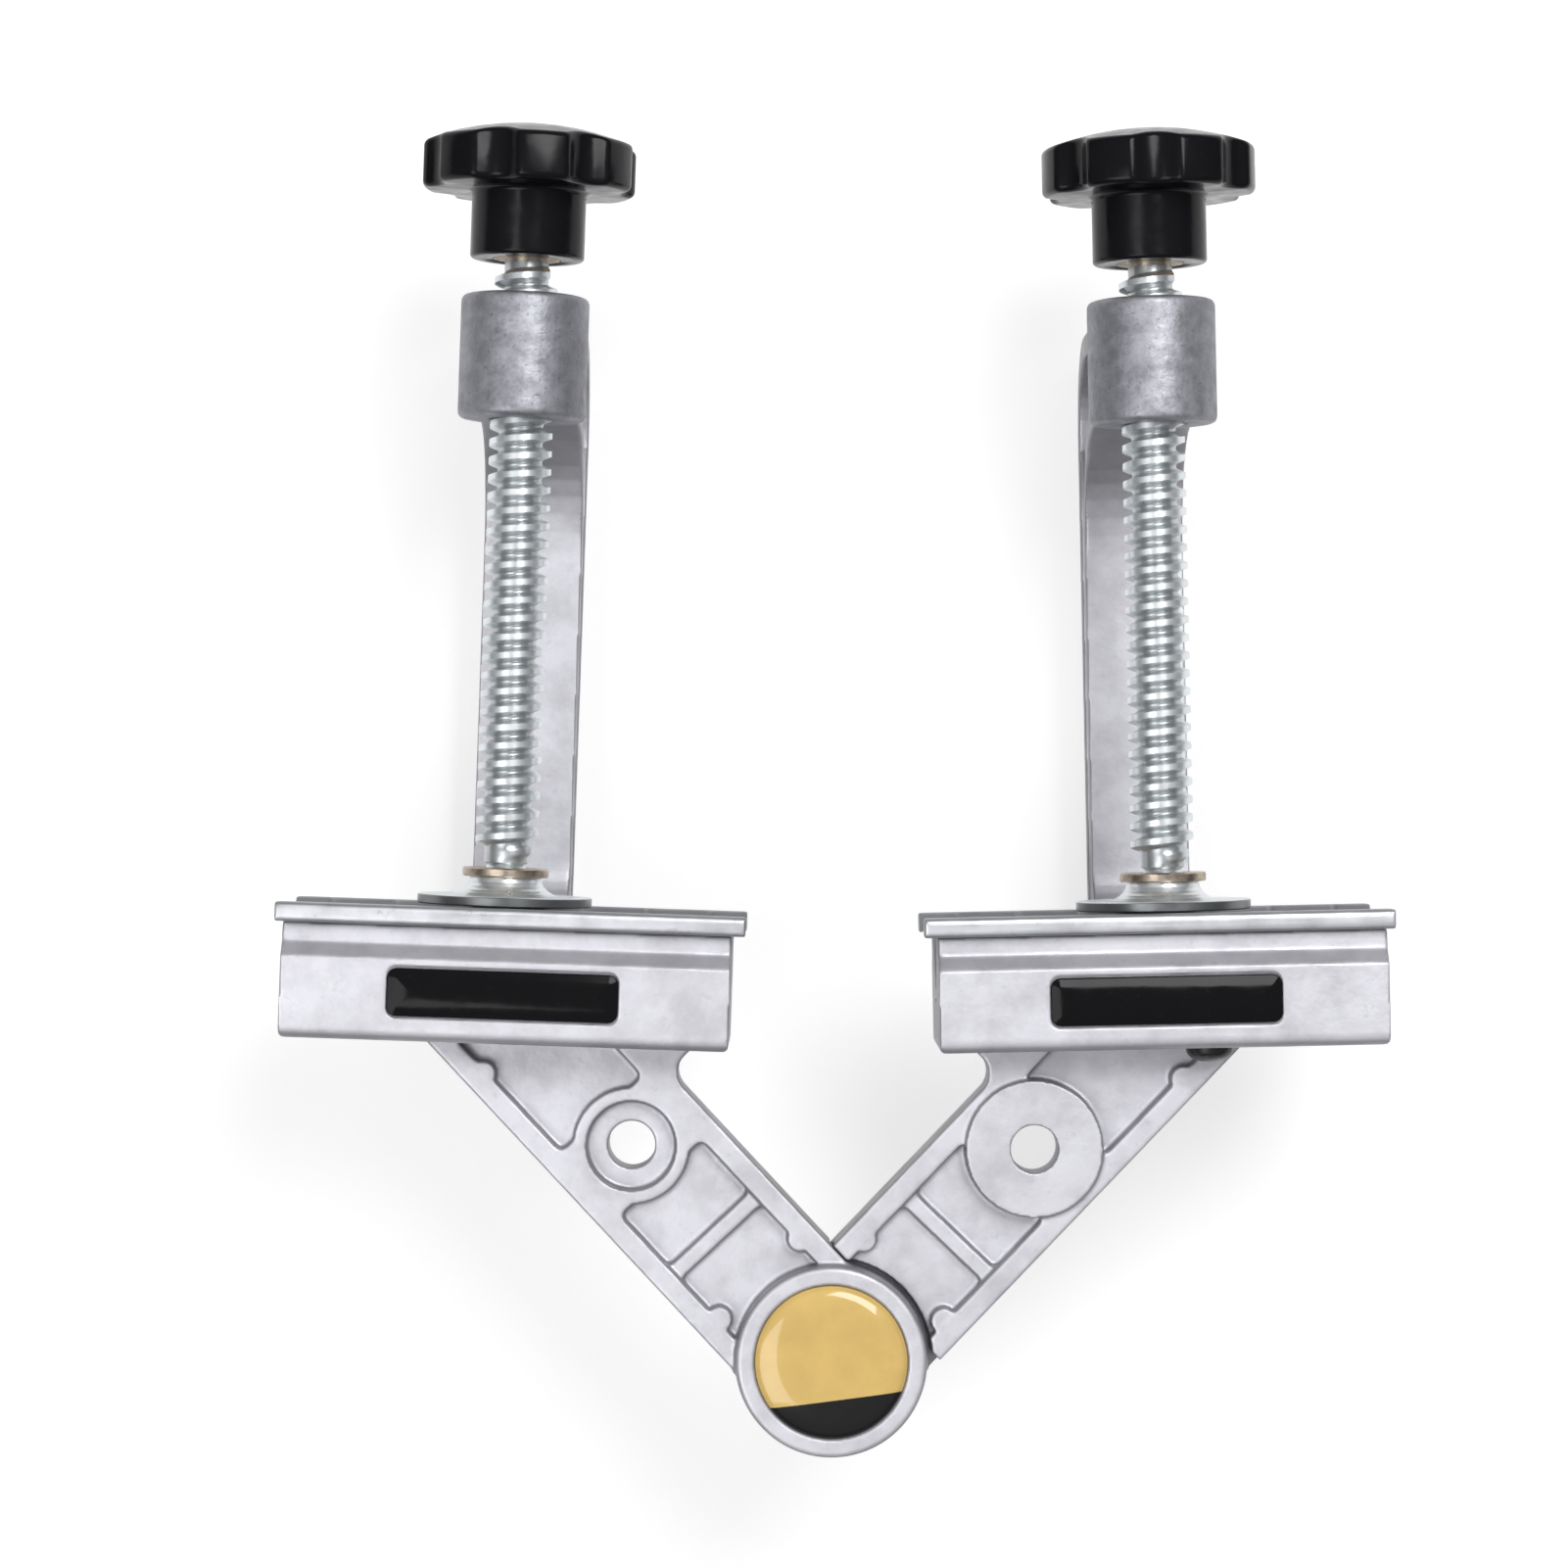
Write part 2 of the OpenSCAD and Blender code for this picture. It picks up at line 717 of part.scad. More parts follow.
// The space that the other arm's lug needs, open towards the ends of its swing
module lap_space() {
  open_side = arms_between + open_angle;
  circle(recess_r);
  intersection() {
    union() {
      rotate(arms_between) translate([-4 * lug_r, -half_w - stop_gap]) square([8 * lug_r, 2 * lug_r]);
      rotate(open_side) translate([-4 * lug_r, -lug_r - half_w + stop_gap]) square([8 * lug_r, 2 * lug_r]);
    }
    translate([-lug_r, -lug_r]) square([2 * lug_r, 2 * lug_r]);
  }
}

// The pockets' outline on one side, clear of the boss or disc around the hole
module pockets(boss_r) {
  side = half_w - rim_w;
  end = (jaw_y - pocket_end_gap) / sin(arm_angle);
  difference() {
    union() {
      polygon(rounded([
        [0, -side, 0],
        [rib_s - rib_w / 2, -side, pocket_r],
        [rib_s - rib_w / 2, side, pocket_r],
        [0, side, 0]
      ]));
      polygon(rounded([
        [rib_s + rib_w / 2, -side, pocket_r],
        [hole_s - hole_boss_d / 2 + pocket_over, -side, pocket_r],
        [hole_s - hole_boss_d / 2 + pocket_over, side, pocket_r],
        [rib_s + rib_w / 2, side, pocket_r]
      ]));
      polygon(rounded([
        [hole_s + hole_boss_d / 2 - pocket_over, -side, pocket_r],
        [end + side * slant, -side, pocket_r],
        [end - side * slant, side, pocket_r],
        [hole_s + hole_boss_d / 2 - pocket_over, side, pocket_r]
      ]));
    }
    circle(lug_r + lug_wall);
    translate([hole_s, 0]) circle(boss_r);
    for (spot = spots) translate(spot) circle(spot_r);
  }
}

module ring_profile() {
  top = half_t + ring_h;
  polygon(concat(
    [[ring_r - ring_w, half_t - 1], [ring_r, half_t - 1]],
    round_edge([ring_r - ring_edge_r, top - ring_edge_r], ring_edge_r, 0, 90),
    round_edge([ring_r - ring_w + ring_edge_r / 2, top - ring_edge_r / 2], ring_edge_r / 2, 90, 180, 3)
  ));
}

module arm_body() {
  difference() {
    union() {
      translate([0, 0, -half_t]) linear_extrude(arm_t) arm_outline();
      translate([0, 0, -half_t]) cylinder(h = arm_t, r = lug_r);
      translate([hole_s, 0, 0]) cylinder(h = half_t + hole_disc_h, d = hole_disc_d);
      mirror([0, 0, 1]) {
        rotate_extrude() ring_profile();
        cylinder(h = half_t + ring_h - seat_depth, r = ring_r - ring_w + eps);
      }
    }
    translate([0, 0, half_t - pocket_depth]) linear_extrude(arm_t) pockets(hole_disc_d / 2);
    mirror([0, 0, 1])
      translate([0, 0, half_t - pocket_depth])
        linear_extrude(ring_h + arm_t) pockets(hole_boss_d / 2);
    translate([0, 0, -lap_half]) linear_extrude(arm_t) lap_space();
    translate([hole_s, 0, -arm_t]) cylinder(h = 2 * arm_t, d = hole_d);
    translate([hole_s, 0, -half_t - 1]) cylinder(h = counterbore_depth + 1, d = counterbore_d);
    translate([0, 0, -arm_t]) cylinder(h = 2 * arm_t, d = pivot_d + 2 * run_gap);
    mirror([0, 0, 1]) translate([0, 0, nut_floor]) cylinder(h = arm_t, d = nut_pocket_d);
  }
}

module arm() {
  color("gainsboro")
    difference() {
      union() {
        rotate([0, 0, arm_angle]) arm_body();
        foot_shape(0);
      }
      screw_axis() translate([0, 0, -1]) cylinder(h = foot_t + 2, d = screw_d + 2 * fit_gap);
    }
}

module arm_screw() {
  head_rim = screw_head_h / 5;
  head_arc = 72;
  socket_depth = screw_head_h * 0.6;
  color("black")
    screw_axis()
      difference() {
        union() {
          rotate_extrude()
            polygon(concat(
              [[0, 0], [screw_head_d / 2, 0]],
              [for (i = [0:6])
                let (a = i * head_arc / 6)
                [screw_head_d / 2 * cos(a), -head_rim - (screw_head_h - head_rim) * sin(a) / sin(head_arc)]],
              [[0, -screw_head_h]]
            ));
          cylinder(h = foot_t + screw_bite, d = screw_d);
        }
        translate([0, 0, -screw_head_h - 1])
          cylinder(h = socket_depth + 1, d = screw_socket / cos(30), $fn = 6);
      }
}

// Pivot hardware, drawn on the pivot axis

module hexagon(af) {
  circle(d = af / cos(30), $fn = 6);
}

module pivot_bolt() {
  color("dimgray")
    at_pivot() {
      translate([0, 0, -nut_floor - washer_t - pivot_nut_h])
        linear_extrude(pivot_nut_h) hexagon(pivot_af);
      translate([0, 0, -nut_floor - washer_t - eps])
        cylinder(h = 2 * (nut_floor + washer_t) + pivot_nut_h + bolt_over, d = pivot_d);
    }
}

module pivot_nut() {
  color("dimgray")
    at_pivot()
      translate([0, 0, nut_floor + washer_t])
        difference() {
          linear_extrude(pivot_nut_h) hexagon(pivot_af);
          translate([0, 0, -1]) cylinder(h = pivot_nut_h + 2, d = pivot_d + fit_gap);
        }
}

module washer(outer, thickness) {
  difference() {
    cylinder(h = thickness, d = outer);
    translate([0, 0, -1]) cylinder(h = thickness + 2, d = pivot_d + 2 * run_gap);
  }
}

module jaw_label() {
  size = [label_length, label_height] / 2;
  crown_r = (pow(size.y, 2) + pow(label_dome, 2)) / (2 * label_dome);
  color("black")
    at_label()
      translate([0, 0, -label_seat + fit_gap / 2])
        intersection() {
          linear_extrude(label_t + label_dome) round_box(-size, size, label_r);
          translate([-size.x - 1, 0, label_t + label_dome - crown_r])
            rotate([0, 90, 0]) cylinder(h = label_length + 2, r = crown_r, $fn = 96);
        }
}

module pivot_label() {
  crown_r = (pow(cap_r, 2) + pow(cap_dome, 2)) / (2 * cap_dome);
  edge_t = seat_depth - 2 * fit_gap;
  half_angle = asin(cap_r / crown_r);
  color("gold")
    at_pivot()
      translate([0, 0, half_t + ring_h - seat_depth + fit_gap / 2])
        rotate_extrude()
          polygon(concat(
            [[0, 0], [cap_r, 0]],
            [for (i = [0:10])
              let (a = half_angle * (1 - i / 10))
              [crown_r * sin(a), edge_t + cap_dome - crown_r + crown_r * cos(a)]]
          ));
}

left_half() clamp_frame(true);  // left_clamp_frame
right_half() clamp_frame(false);  // right_clamp_frame
left_half_turned() arm();  // left_arm
right_half() arm();  // right_arm
left_half() v_plate();  // left_v_plate
right_half() v_plate();  // right_v_plate
left_half() spindle();  // left_spindle
right_half() spindle();  // right_spindle
left_half() knob(left_knob_turn);  // left_knob
right_half() knob(0);  // right_knob
left_half() knob_insert();  // left_knob_insert
right_half() knob_insert();  // right_knob_insert
left_half() pad();  // left_pad
right_half() pad();  // right_pad
left_half() pad_ring();  // left_pad_ring
right_half() pad_ring();  // right_pad_ring
left_half() jaw_label();  // left_jaw_label
right_half() jaw_label();  // right_jaw_label
left_half_turned() arm_screw();  // left_arm_screw
right_half() arm_screw();  // right_arm_screw
pivot_bolt();
pivot_nut();
color("silver") at_pivot() translate([0, 0, nut_floor]) washer(washer_d, washer_t);  // pivot_washer_front
color("silver") at_pivot() translate([0, 0, -nut_floor - washer_t]) washer(washer_d, washer_t);  // pivot_washer_rear
color("white") at_pivot() translate([0, 0, -friction_t / 2]) washer(friction_d, friction_t);  // friction_washer
pivot_label();
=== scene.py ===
import json
import math

import bmesh
import bpy
from bpy.props import FloatProperty, FloatVectorProperty, IntProperty, PointerProperty
from mathutils import Matrix, Vector


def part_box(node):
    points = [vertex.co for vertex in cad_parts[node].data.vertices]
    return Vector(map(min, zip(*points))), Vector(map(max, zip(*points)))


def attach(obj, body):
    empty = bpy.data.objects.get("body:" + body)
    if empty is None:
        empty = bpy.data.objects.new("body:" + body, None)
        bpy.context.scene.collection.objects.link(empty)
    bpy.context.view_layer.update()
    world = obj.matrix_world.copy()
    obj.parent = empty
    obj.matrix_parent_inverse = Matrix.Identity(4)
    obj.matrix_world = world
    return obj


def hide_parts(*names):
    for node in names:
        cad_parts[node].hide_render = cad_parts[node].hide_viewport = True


bl_info = {
    "name": "Corner Clamp",
    "version": (1, 0, 0),
    "blender": (4, 5, 0),
    "location": "3D View > Sidebar > Corner Clamp",
    "description": "Dresses a corner clamp for two round tubes",
    "category": "Add Mesh",
}

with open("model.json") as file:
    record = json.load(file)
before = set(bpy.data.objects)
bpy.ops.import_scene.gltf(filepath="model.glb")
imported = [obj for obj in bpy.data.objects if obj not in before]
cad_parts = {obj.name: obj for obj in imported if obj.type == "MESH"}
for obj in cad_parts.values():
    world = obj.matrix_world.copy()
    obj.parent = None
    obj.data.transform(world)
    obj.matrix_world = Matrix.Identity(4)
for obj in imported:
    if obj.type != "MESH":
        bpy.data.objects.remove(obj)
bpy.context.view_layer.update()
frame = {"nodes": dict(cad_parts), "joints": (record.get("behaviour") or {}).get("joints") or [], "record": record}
MM = 0.001
SIDES = ("left", "right")


# What the frame says about the clamp

def joint(name):
    """The joint of that name."""
    return next(j for j in frame["joints"] if j["name"] == name)


def size_of(node):
    """The node's box as (low, high)."""
    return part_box(node)


def spindle_frame(side):
    """The spindle's own frame: y along its axis away from the pad, z towards the viewer, origin on the axis."""
    turn = joint(f"{side}_spindle_turn")
    along = Vector(turn["axis"]).normalized()
    if along.y < 0:
        along = -along
    up = Vector((0, 0, 1))
    across = along.cross(up).normalized()
    origin = Vector(turn["pos_m"])
    return Matrix.Translation(origin) @ Matrix((across, along, up)).transposed().to_4x4()


def arm_frame(side):
    """The arm's own frame: x from the pivot to the mounting hole, z towards the side with the raised disc."""
    pivot = Vector(joint("halves_hinge")["pos_m"])
    hole = next(m for m in frame["record"]["mounts"] if m["name"] == f"{side}_mounting_hole")
    along = Vector(hole["pos_m"]) - pivot
    along.z = 0
    along.normalize()
    up = Vector((0, 0, 1 if side == "right" else -1))
    return Matrix.Translation(pivot) @ Matrix((along, up.cross(along), up)).transposed().to_4x4()


def reach_along(side, node):
    """How far the node reaches along the spindle's axis, as (lowest, highest), in the spindle's frame."""
    to_spindle = spindle_frame(side).inverted()
    heights = [(to_spindle @ v.co).y for v in frame["nodes"][node].data.vertices]
    return min(heights), max(heights)


def radius_of(side, node):
    """The node's greatest distance from the spindle's axis."""
    to_spindle = spindle_frame(side).inverted()
    points = [to_spindle @ v.co for v in frame["nodes"][node].data.vertices]
    return max(math.hypot(p.x, p.z) for p in points)


# Settings that a user would change

class ClampSizes(bpy.types.PropertyGroup):
    """Sizes of the visible pieces"""

    skin_grain: FloatProperty(
        name="Skin Grain", description="Mesh size of the castings' skin, which rounds their edges",
        default=0.4 * MM, min=0.2 * MM, unit="LENGTH",
    )
    skin_rounds: IntProperty(
        name="Skin Rounds", description="Passes that soften the castings' edges",
        default=4, min=1,
    )
    plate_edge: FloatProperty(
        name="Plate Edge", description="Radius along the edges of the V plates",
        default=0.35 * MM, min=0, unit="LENGTH",
    )
    thread_pitch: FloatProperty(
        name="Thread Pitch", description="Pitch of the spindle's thread",
        default=4 * MM, min=1 * MM, unit="LENGTH",
    )
    thread_depth: FloatProperty(
        name="Thread Depth", description="Depth of the spindle's thread",
        default=2.1 * MM, min=0.2 * MM, unit="LENGTH",
    )
    thread_steps: IntProperty(
        name="Thread Steps", description="Steps in one turn of the thread",
        default=32, min=8,
    )
    knob_lobes: IntProperty(
        name="Knob Lobes", description="Number of lobes round a knob",
        default=7, min=3,
    )
    scallop_radius: FloatProperty(
        name="Scallop Radius", description="Radius of the hollow between two lobes",
        default=6.5 * MM, min=1 * MM, unit="LENGTH",
    )
    scallop_depth: FloatProperty(
        name="Scallop Depth", description="Depth of the hollow between two lobes",
        default=2.6 * MM, min=0.1 * MM, unit="LENGTH",
    )
    label_corner: FloatProperty(
        name="Label Corner", description="Radius of the jaw labels' corners",
        default=2.2 * MM, min=0.1 * MM, unit="LENGTH",
    )


def colour(name, text, value):
    """A colour setting."""
    return FloatVectorProperty(name=name, description=text, subtype="COLOR", size=3, default=value, min=0, max=1)


class ClampColours(bpy.types.PropertyGroup):
    """Colours of the finishes"""

    cast: colour("Cast Aluminium", "Light grey of the cast frames and arms", (0.74, 0.735, 0.79))
    cast_boss: colour("Cast Boss", "Darker as-cast grey of the spindle bosses", (0.45, 0.455, 0.5))
    plate: colour("V Plate", "Bright steel of the V plates", (0.72, 0.73, 0.77))
    stain: colour("Stain", "Brown stains on the V plates", (0.33, 0.26, 0.2))
    zinc: colour("Zinc", "Bright zinc of the spindles and pads", (0.80, 0.84, 0.86))
    ring: colour("Retaining Ring", "Warm nickel of the pads' rings", (0.50, 0.42, 0.34))
    knob: colour("Knob", "Glossy black of the knobs", (0.006, 0.006, 0.008))
    brass: colour("Insert", "Brass of the knobs' inserts", (0.42, 0.28, 0.13))
    label_black: colour("Label Black", "Black of the labels", (0.006, 0.006, 0.007))
    label_gold: colour("Label Gold", "Gold of the round label", (0.80, 0.55, 0.18))
    screw: colour("Screw", "Black oxide of the arm screws", (0.03, 0.03, 0.032))
    washer: colour("Friction Washer", "Pale plastic of the washer between the arms", (0.75, 0.75, 0.72))
    floor: colour("Floor", "Colour of the floor", (0.55, 0.55, 0.55))


def sizes():
    """The sizes set in the scene."""
    return bpy.context.scene.clamp_sizes


def colours():
    """The colours set in the scene."""
    return bpy.context.scene.clamp_colours


# Materials

class Finish:
    """A procedural material on Object coordinates, with short calls for its nodes."""

    def __init__(self, name, **values):
        name = f"{name}_finish"
        self.material = bpy.data.materials.get(name)
        self.made = self.material is None
        if not self.made:
            return
        self.material = bpy.data.materials.new(name)
        self.material.use_nodes = True
        self.tree = self.material.node_tree
        self.shader = self.tree.nodes["Principled BSDF"]
        self.place = self.tree.nodes.new("ShaderNodeTexCoord").outputs["Object"]
        for socket, value in values.items():
            name = socket.replace("_", " ").title()
            self.shader.inputs[name].default_value = value

    def node(self, kind, inputs=None, **settings):
        """Adds a node, sets its properties and fills or links its inputs."""
        new = self.tree.nodes.new(kind)
        for key, value in settings.items():
            setattr(new, key, value)
        for key, value in (inputs or {}).items():
            if isinstance(value, bpy.types.NodeSocket):
                self.tree.links.new(value, new.inputs[key])
            else:
                new.inputs[key].default_value = value
        return new

    def link(self, value, socket):
        """Links a value to one of the shader's sockets."""
        self.tree.links.new(value, self.shader.inputs[socket])

    def stretched(self, scale):
        """Object coordinates scaled along each axis."""
        return self.node("ShaderNodeMapping", {"Vector": self.place, "Scale": scale}).outputs["Vector"]

    def noise(self, scale, detail=3.0, roughness=0.5, vector=None):
        """Noise with a feature size of about 1 / scale metres."""
        inputs = {"Vector": vector or self.place, "Scale": scale, "Detail": detail, "Roughness": roughness}
        return self.node("ShaderNodeTexNoise", inputs).outputs["Fac"]

    def spread(self, value, low, high, to_low, to_high):
        """The value's range from low to high, spread from to_low to to_high and held there."""
        inputs = {"Value": value, "From Min": low, "From Max": high, "To Min": to_low, "To Max": to_high}
        return self.node("ShaderNodeMapRange", inputs, clamp=True).outputs["Result"]

    def painted_shade_share(self, most):
        """The mesh's marks of where shade is painted, spread from 0 to the share given."""
        painted_shade = self.node("ShaderNodeAttribute", attribute_name="painted_shade").outputs["Fac"]
        return self.spread(painted_shade, 0, 1, 0, most)

    def mix(self, share, a, b, blend="MIX"):
        """Colour a turned towards colour b."""
        new = self.node("ShaderNodeMix", data_type="RGBA", blend_type=blend)
        for index, value in ((0, share), (6, a), (7, b)):
            if isinstance(value, bpy.types.NodeSocket):
                self.tree.links.new(value, new.inputs[index])
            elif isinstance(value, (int, float)):
                new.inputs[index].default_value = value
            else:
                new.inputs[index].default_value = (*value, 1)
        return new.outputs[2]

    def bump(self, height, distance, strength=1.0, under=None):
        """A bump of that height in metres, laid over another where one is given."""
        inputs = {"Height": height, "Distance": distance, "Strength": strength}
        if under is not None:
            inputs["Normal"] = under
        return self.node("ShaderNodeBump", inputs).outputs["Normal"]


def darker(shade, share):
    """The colour, darker by that share."""
    return tuple(c * (1 - share) for c in shade)


def cast_finish():
    """Tumbled cast aluminium: soft clouds, fine grain and a satin sheen, with painted shade darkening the marked
    places (upright walls, and on the frames the spine below the boss).
    """
    finish = Finish("cast", metallic=0.35)
    if finish.made:
        shade = tuple(colours().cast)
        clouds = finish.spread(finish.noise(75, 5, 0.65), 0.42, 0.66, 0, 1)
        grain = finish.noise(900, 2, 0.6)
        flecks = finish.spread(finish.noise(420, 2, 0.7), 0.62, 0.78, 0, 0.5)
        base = finish.mix(clouds, shade, darker(shade, 0.2))
        base = finish.mix(flecks, base, darker(shade, 0.3))
        # Painted shade: marked places turn towards a much darker grey
        finish.link(finish.mix(finish.painted_shade_share(0.66), base, darker(shade, 0.8)), "Base Color")
        finish.link(finish.spread(finish.noise(130, 3), 0.3, 0.7, 0.36, 0.5), "Roughness")
        swell = finish.bump(finish.noise(160, 2), 0.15 * MM)
        finish.link(finish.bump(grain, 0.04 * MM, under=swell), "Normal")
    return finish.material


def boss_finish():
    """As-cast skin of the spindle bosses: darker, blotched and pitted, with painted shade on the marked upright
    sides.
    """
    finish = Finish("cast_boss", metallic=0.6)
    if finish.made:
        shade = tuple(colours().cast_boss)
        clouds = finish.spread(finish.noise(260, 5, 0.65), 0.38, 0.66, 0, 1)
        pits = finish.spread(finish.noise(900, 2, 0.7), 0.6, 0.75, 0, 1)
        base = finish.mix(clouds, shade, darker(shade, 0.38))
        base = finish.mix(pits, base, darker(shade, 0.55))
        # Painted shade: marked places turn towards a darker grey
        finish.link(finish.mix(finish.painted_shade_share(0.5), base, darker(shade, 0.6)), "Base Color")
        finish.link(finish.spread(finish.noise(300, 3), 0.3, 0.7, 0.4, 0.56), "Roughness")
        swell = finish.bump(finish.noise(400, 3), 0.12 * MM)
        finish.link(finish.bump(finish.noise(1300, 2), 0.05 * MM, under=swell), "Normal")
    return finish.material


def plate_finish():
    """Plate steel with fine lengthwise scratches and a few brown stains, with painted shade on its upright faces.
    """
    finish = Finish("plate_steel", metallic=0.6)
    if finish.made:
        shade = tuple(colours().plate)
        scratches = finish.noise(260, 3, 0.7, finish.stretched((0.12, 3, 3)))
        clouds = finish.spread(finish.noise(150, 4), 0.4, 0.7, 0, 1)
        stains = finish.spread(finish.noise(210, 4, 0.7), 0.6, 0.74, 0, 0.6)
        base = finish.mix(clouds, shade, darker(shade, 0.22))
        base = finish.mix(stains, base, tuple(colours().stain))
        # Painted shade: marked places turn towards a darker steel
        finish.link(finish.mix(finish.painted_shade_share(0.8), base, darker(shade, 0.7)), "Base Color")
        finish.link(finish.spread(scratches, 0.3, 0.7, 0.28, 0.46), "Roughness")
        finish.link(finish.bump(scratches, 0.04 * MM), "Normal")
    return finish.material


def zinc_finish(name="zinc_steel", edge=None):
    """Zinc plating with faint clouds. Marked places (the thread's roots) get painted shade, and what lies below an
    edge plane is dark.
    """
    finish = Finish(name, metallic=0.8)
    if finish.made:
        shade = tuple(colours().zinc)
        clouds = finish.spread(finish.noise(220, 3), 0.35, 0.7, 0, 1)
        base = finish.mix(clouds, shade, darker(shade, 0.16))
        # Painted shade: marked places, such as the thread's roots, turn dark
        base = finish.mix(finish.painted_shade_share(0.44), base, darker(shade, 0.8))
        if edge:
            axis, level = edge
            along = finish.node("ShaderNodeVectorMath", {0: finish.place, 1: axis}, operation="DOT_PRODUCT")
            below = finish.spread(along.outputs["Value"], level - 0.1 * MM, level, 0.9, 0)
            base = finish.mix(below, base, darker(shade, 0.85))
        finish.link(base, "Base Color")
        finish.link(finish.spread(finish.noise(400, 2), 0.3, 0.7, 0.27, 0.38), "Roughness")
    return finish.material


def ring_finish():
    """Warm nickel of the retaining rings, with darker stains."""
    finish = Finish("ring_steel", metallic=1.0)
    if finish.made:
        shade = tuple(colours().ring)
        stains = finish.spread(finish.noise(350, 3), 0.4, 0.68, 0, 1)
        finish.link(finish.mix(stains, shade, darker(shade, 0.45)), "Base Color")
        finish.link(finish.spread(finish.noise(600, 2), 0.3, 0.7, 0.25, 0.42), "Roughness")
        finish.link(finish.bump(finish.noise(1000, 2), 0.03 * MM), "Normal")
    return finish.material


def knob_finish():
    """Glossy moulded black with a faint ripple."""
    finish = Finish("knob_plastic")
    if finish.made:
        finish.shader.inputs["Specular IOR Level"].default_value = 0.16
        shade = tuple(colours().knob)
        dust = finish.spread(finish.noise(700, 3, 0.7), 0.6, 0.8, 0, 1)
        finish.link(finish.mix(dust, shade, tuple(c + 0.006 for c in shade)), "Base Color")
        finish.link(finish.spread(finish.noise(220, 3), 0.3, 0.7, 0.14, 0.26), "Roughness")
        finish.link(finish.bump(finish.noise(130, 2), 0.12 * MM), "Normal")
    return finish.material


def brass_finish():
    """Turned brass of the knob inserts."""
    finish = Finish("insert_brass", metallic=1.0)
    if finish.made:
        shade = tuple(colours().brass)
        stains = finish.spread(finish.noise(400, 3), 0.4, 0.7, 0, 1)
        finish.link(finish.mix(stains, shade, darker(shade, 0.3)), "Base Color")
        finish.link(finish.spread(finish.noise(900, 2), 0.3, 0.7, 0.22, 0.4), "Roughness")
        finish.link(finish.bump(finish.noise(1200, 2), 0.02 * MM), "Normal")
    return finish.material


def jaw_label_finish():
    """Black print under a clear domed resin."""
    finish = Finish("label_black")
    if finish.made:
        finish.shader.inputs["Specular IOR Level"].default_value = 0.14
        shade = tuple(colours().label_black)
        specks = finish.spread(finish.noise(800, 3, 0.7), 0.62, 0.8, 0, 1)
        finish.link(finish.mix(specks, shade, tuple(c + 0.01 for c in shade)), "Base Color")
        finish.link(finish.spread(finish.noise(150, 2), 0.3, 0.7, 0.08, 0.16), "Roughness")
        finish.link(finish.bump(finish.noise(90, 2), 0.1 * MM), "Normal")
    return finish.material


def round_label_finish(chord_point, chord_slope):
    """Gold print with a black segment below a chord, under a clear domed resin."""
    finish = Finish("label_gold")
    if finish.made:
        finish.shader.inputs["Specular IOR Level"].default_value = 0.1
        finish.shader.inputs["Coat Weight"].default_value = 1
        finish.shader.inputs["Coat Roughness"].default_value = 0.06
        gold = tuple(colours().label_gold)
        black = tuple(colours().label_black)
        axes = finish.node("ShaderNodeSeparateXYZ", {"Vector": finish.place}).outputs
        rise = finish.node("ShaderNodeMath", {0: axes["X"], 1: chord_slope}, operation="MULTIPLY").outputs[0]
        level = chord_point.y - chord_slope * chord_point.x
        line = finish.node("ShaderNodeMath", {0: rise, 1: level}, operation="ADD").outputs[0]
        above = finish.node("ShaderNodeMath", {0: axes["Y"], 1: line}, operation="SUBTRACT").outputs[0]
        below = finish.spread(above, -0.06 * MM, 0.06 * MM, 1, 0)
        sheen = finish.spread(finish.noise(120, 3), 0.35, 0.7, 0, 1)
        print_colour = finish.mix(sheen, gold, darker(gold, 0.12))
        finish.link(finish.mix(below, print_colour, black), "Base Color")
        finish.link(finish.spread(finish.noise(300, 2), 0.3, 0.7, 0.2, 0.32), "Roughness")
        finish.link(finish.bump(finish.noise(70, 2), 0.12 * MM), "Normal")
    return finish.material


def screw_finish():
    """Black oxide of the screws."""
    finish = Finish("screw_black", metallic=0.6)
    if finish.made:
        shade = tuple(colours().screw)
        wear = finish.spread(finish.noise(600, 3), 0.55, 0.75, 0, 1)
        finish.link(finish.mix(wear, shade, tuple(c * 2.5 for c in shade)), "Base Color")
        finish.link(finish.spread(finish.noise(500, 2), 0.3, 0.7, 0.28, 0.42), "Roughness")
        finish.link(finish.bump(finish.noise(1000, 2), 0.02 * MM), "Normal")
    return finish.material


def washer_finish():
    """Pale plastic of the friction washer."""
    finish = Finish("washer_plastic")
    if finish.made:
        shade = tuple(colours().washer)
        clouds = finish.spread(finish.noise(200, 3), 0.35, 0.7, 0, 1)
        finish.link(finish.mix(clouds, shade, darker(shade, 0.12)), "Base Color")
        finish.link(finish.spread(finish.noise(400, 2), 0.3, 0.7, 0.4, 0.55), "Roughness")
        finish.link(finish.bump(finish.noise(800, 2), 0.02 * MM), "Normal")
    return finish.material


# Meshes

def piece(name, mesh, body, replaced):
    """Puts a finished mesh in the scene, on its body and in place of its CAD node."""
    new = bpy.data.objects.new(name, mesh)
    bpy.context.scene.collection.objects.link(new)
    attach(new, body)
    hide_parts(replaced)
    return new


def body_of(node):
    """The body that carries the node."""
    return next(name for name, nodes in frame["record"]["behaviour"]["bodies"].items() if node in nodes)


def settle(mesh, sharp_degrees):
    """Shades the mesh smooth, apart from edges that are sharper than the limit."""
    mesh.shade_smooth()
    mesh.set_sharp_from_angle(angle=math.radians(sharp_degrees))
    mesh.validate()
    mesh.update()


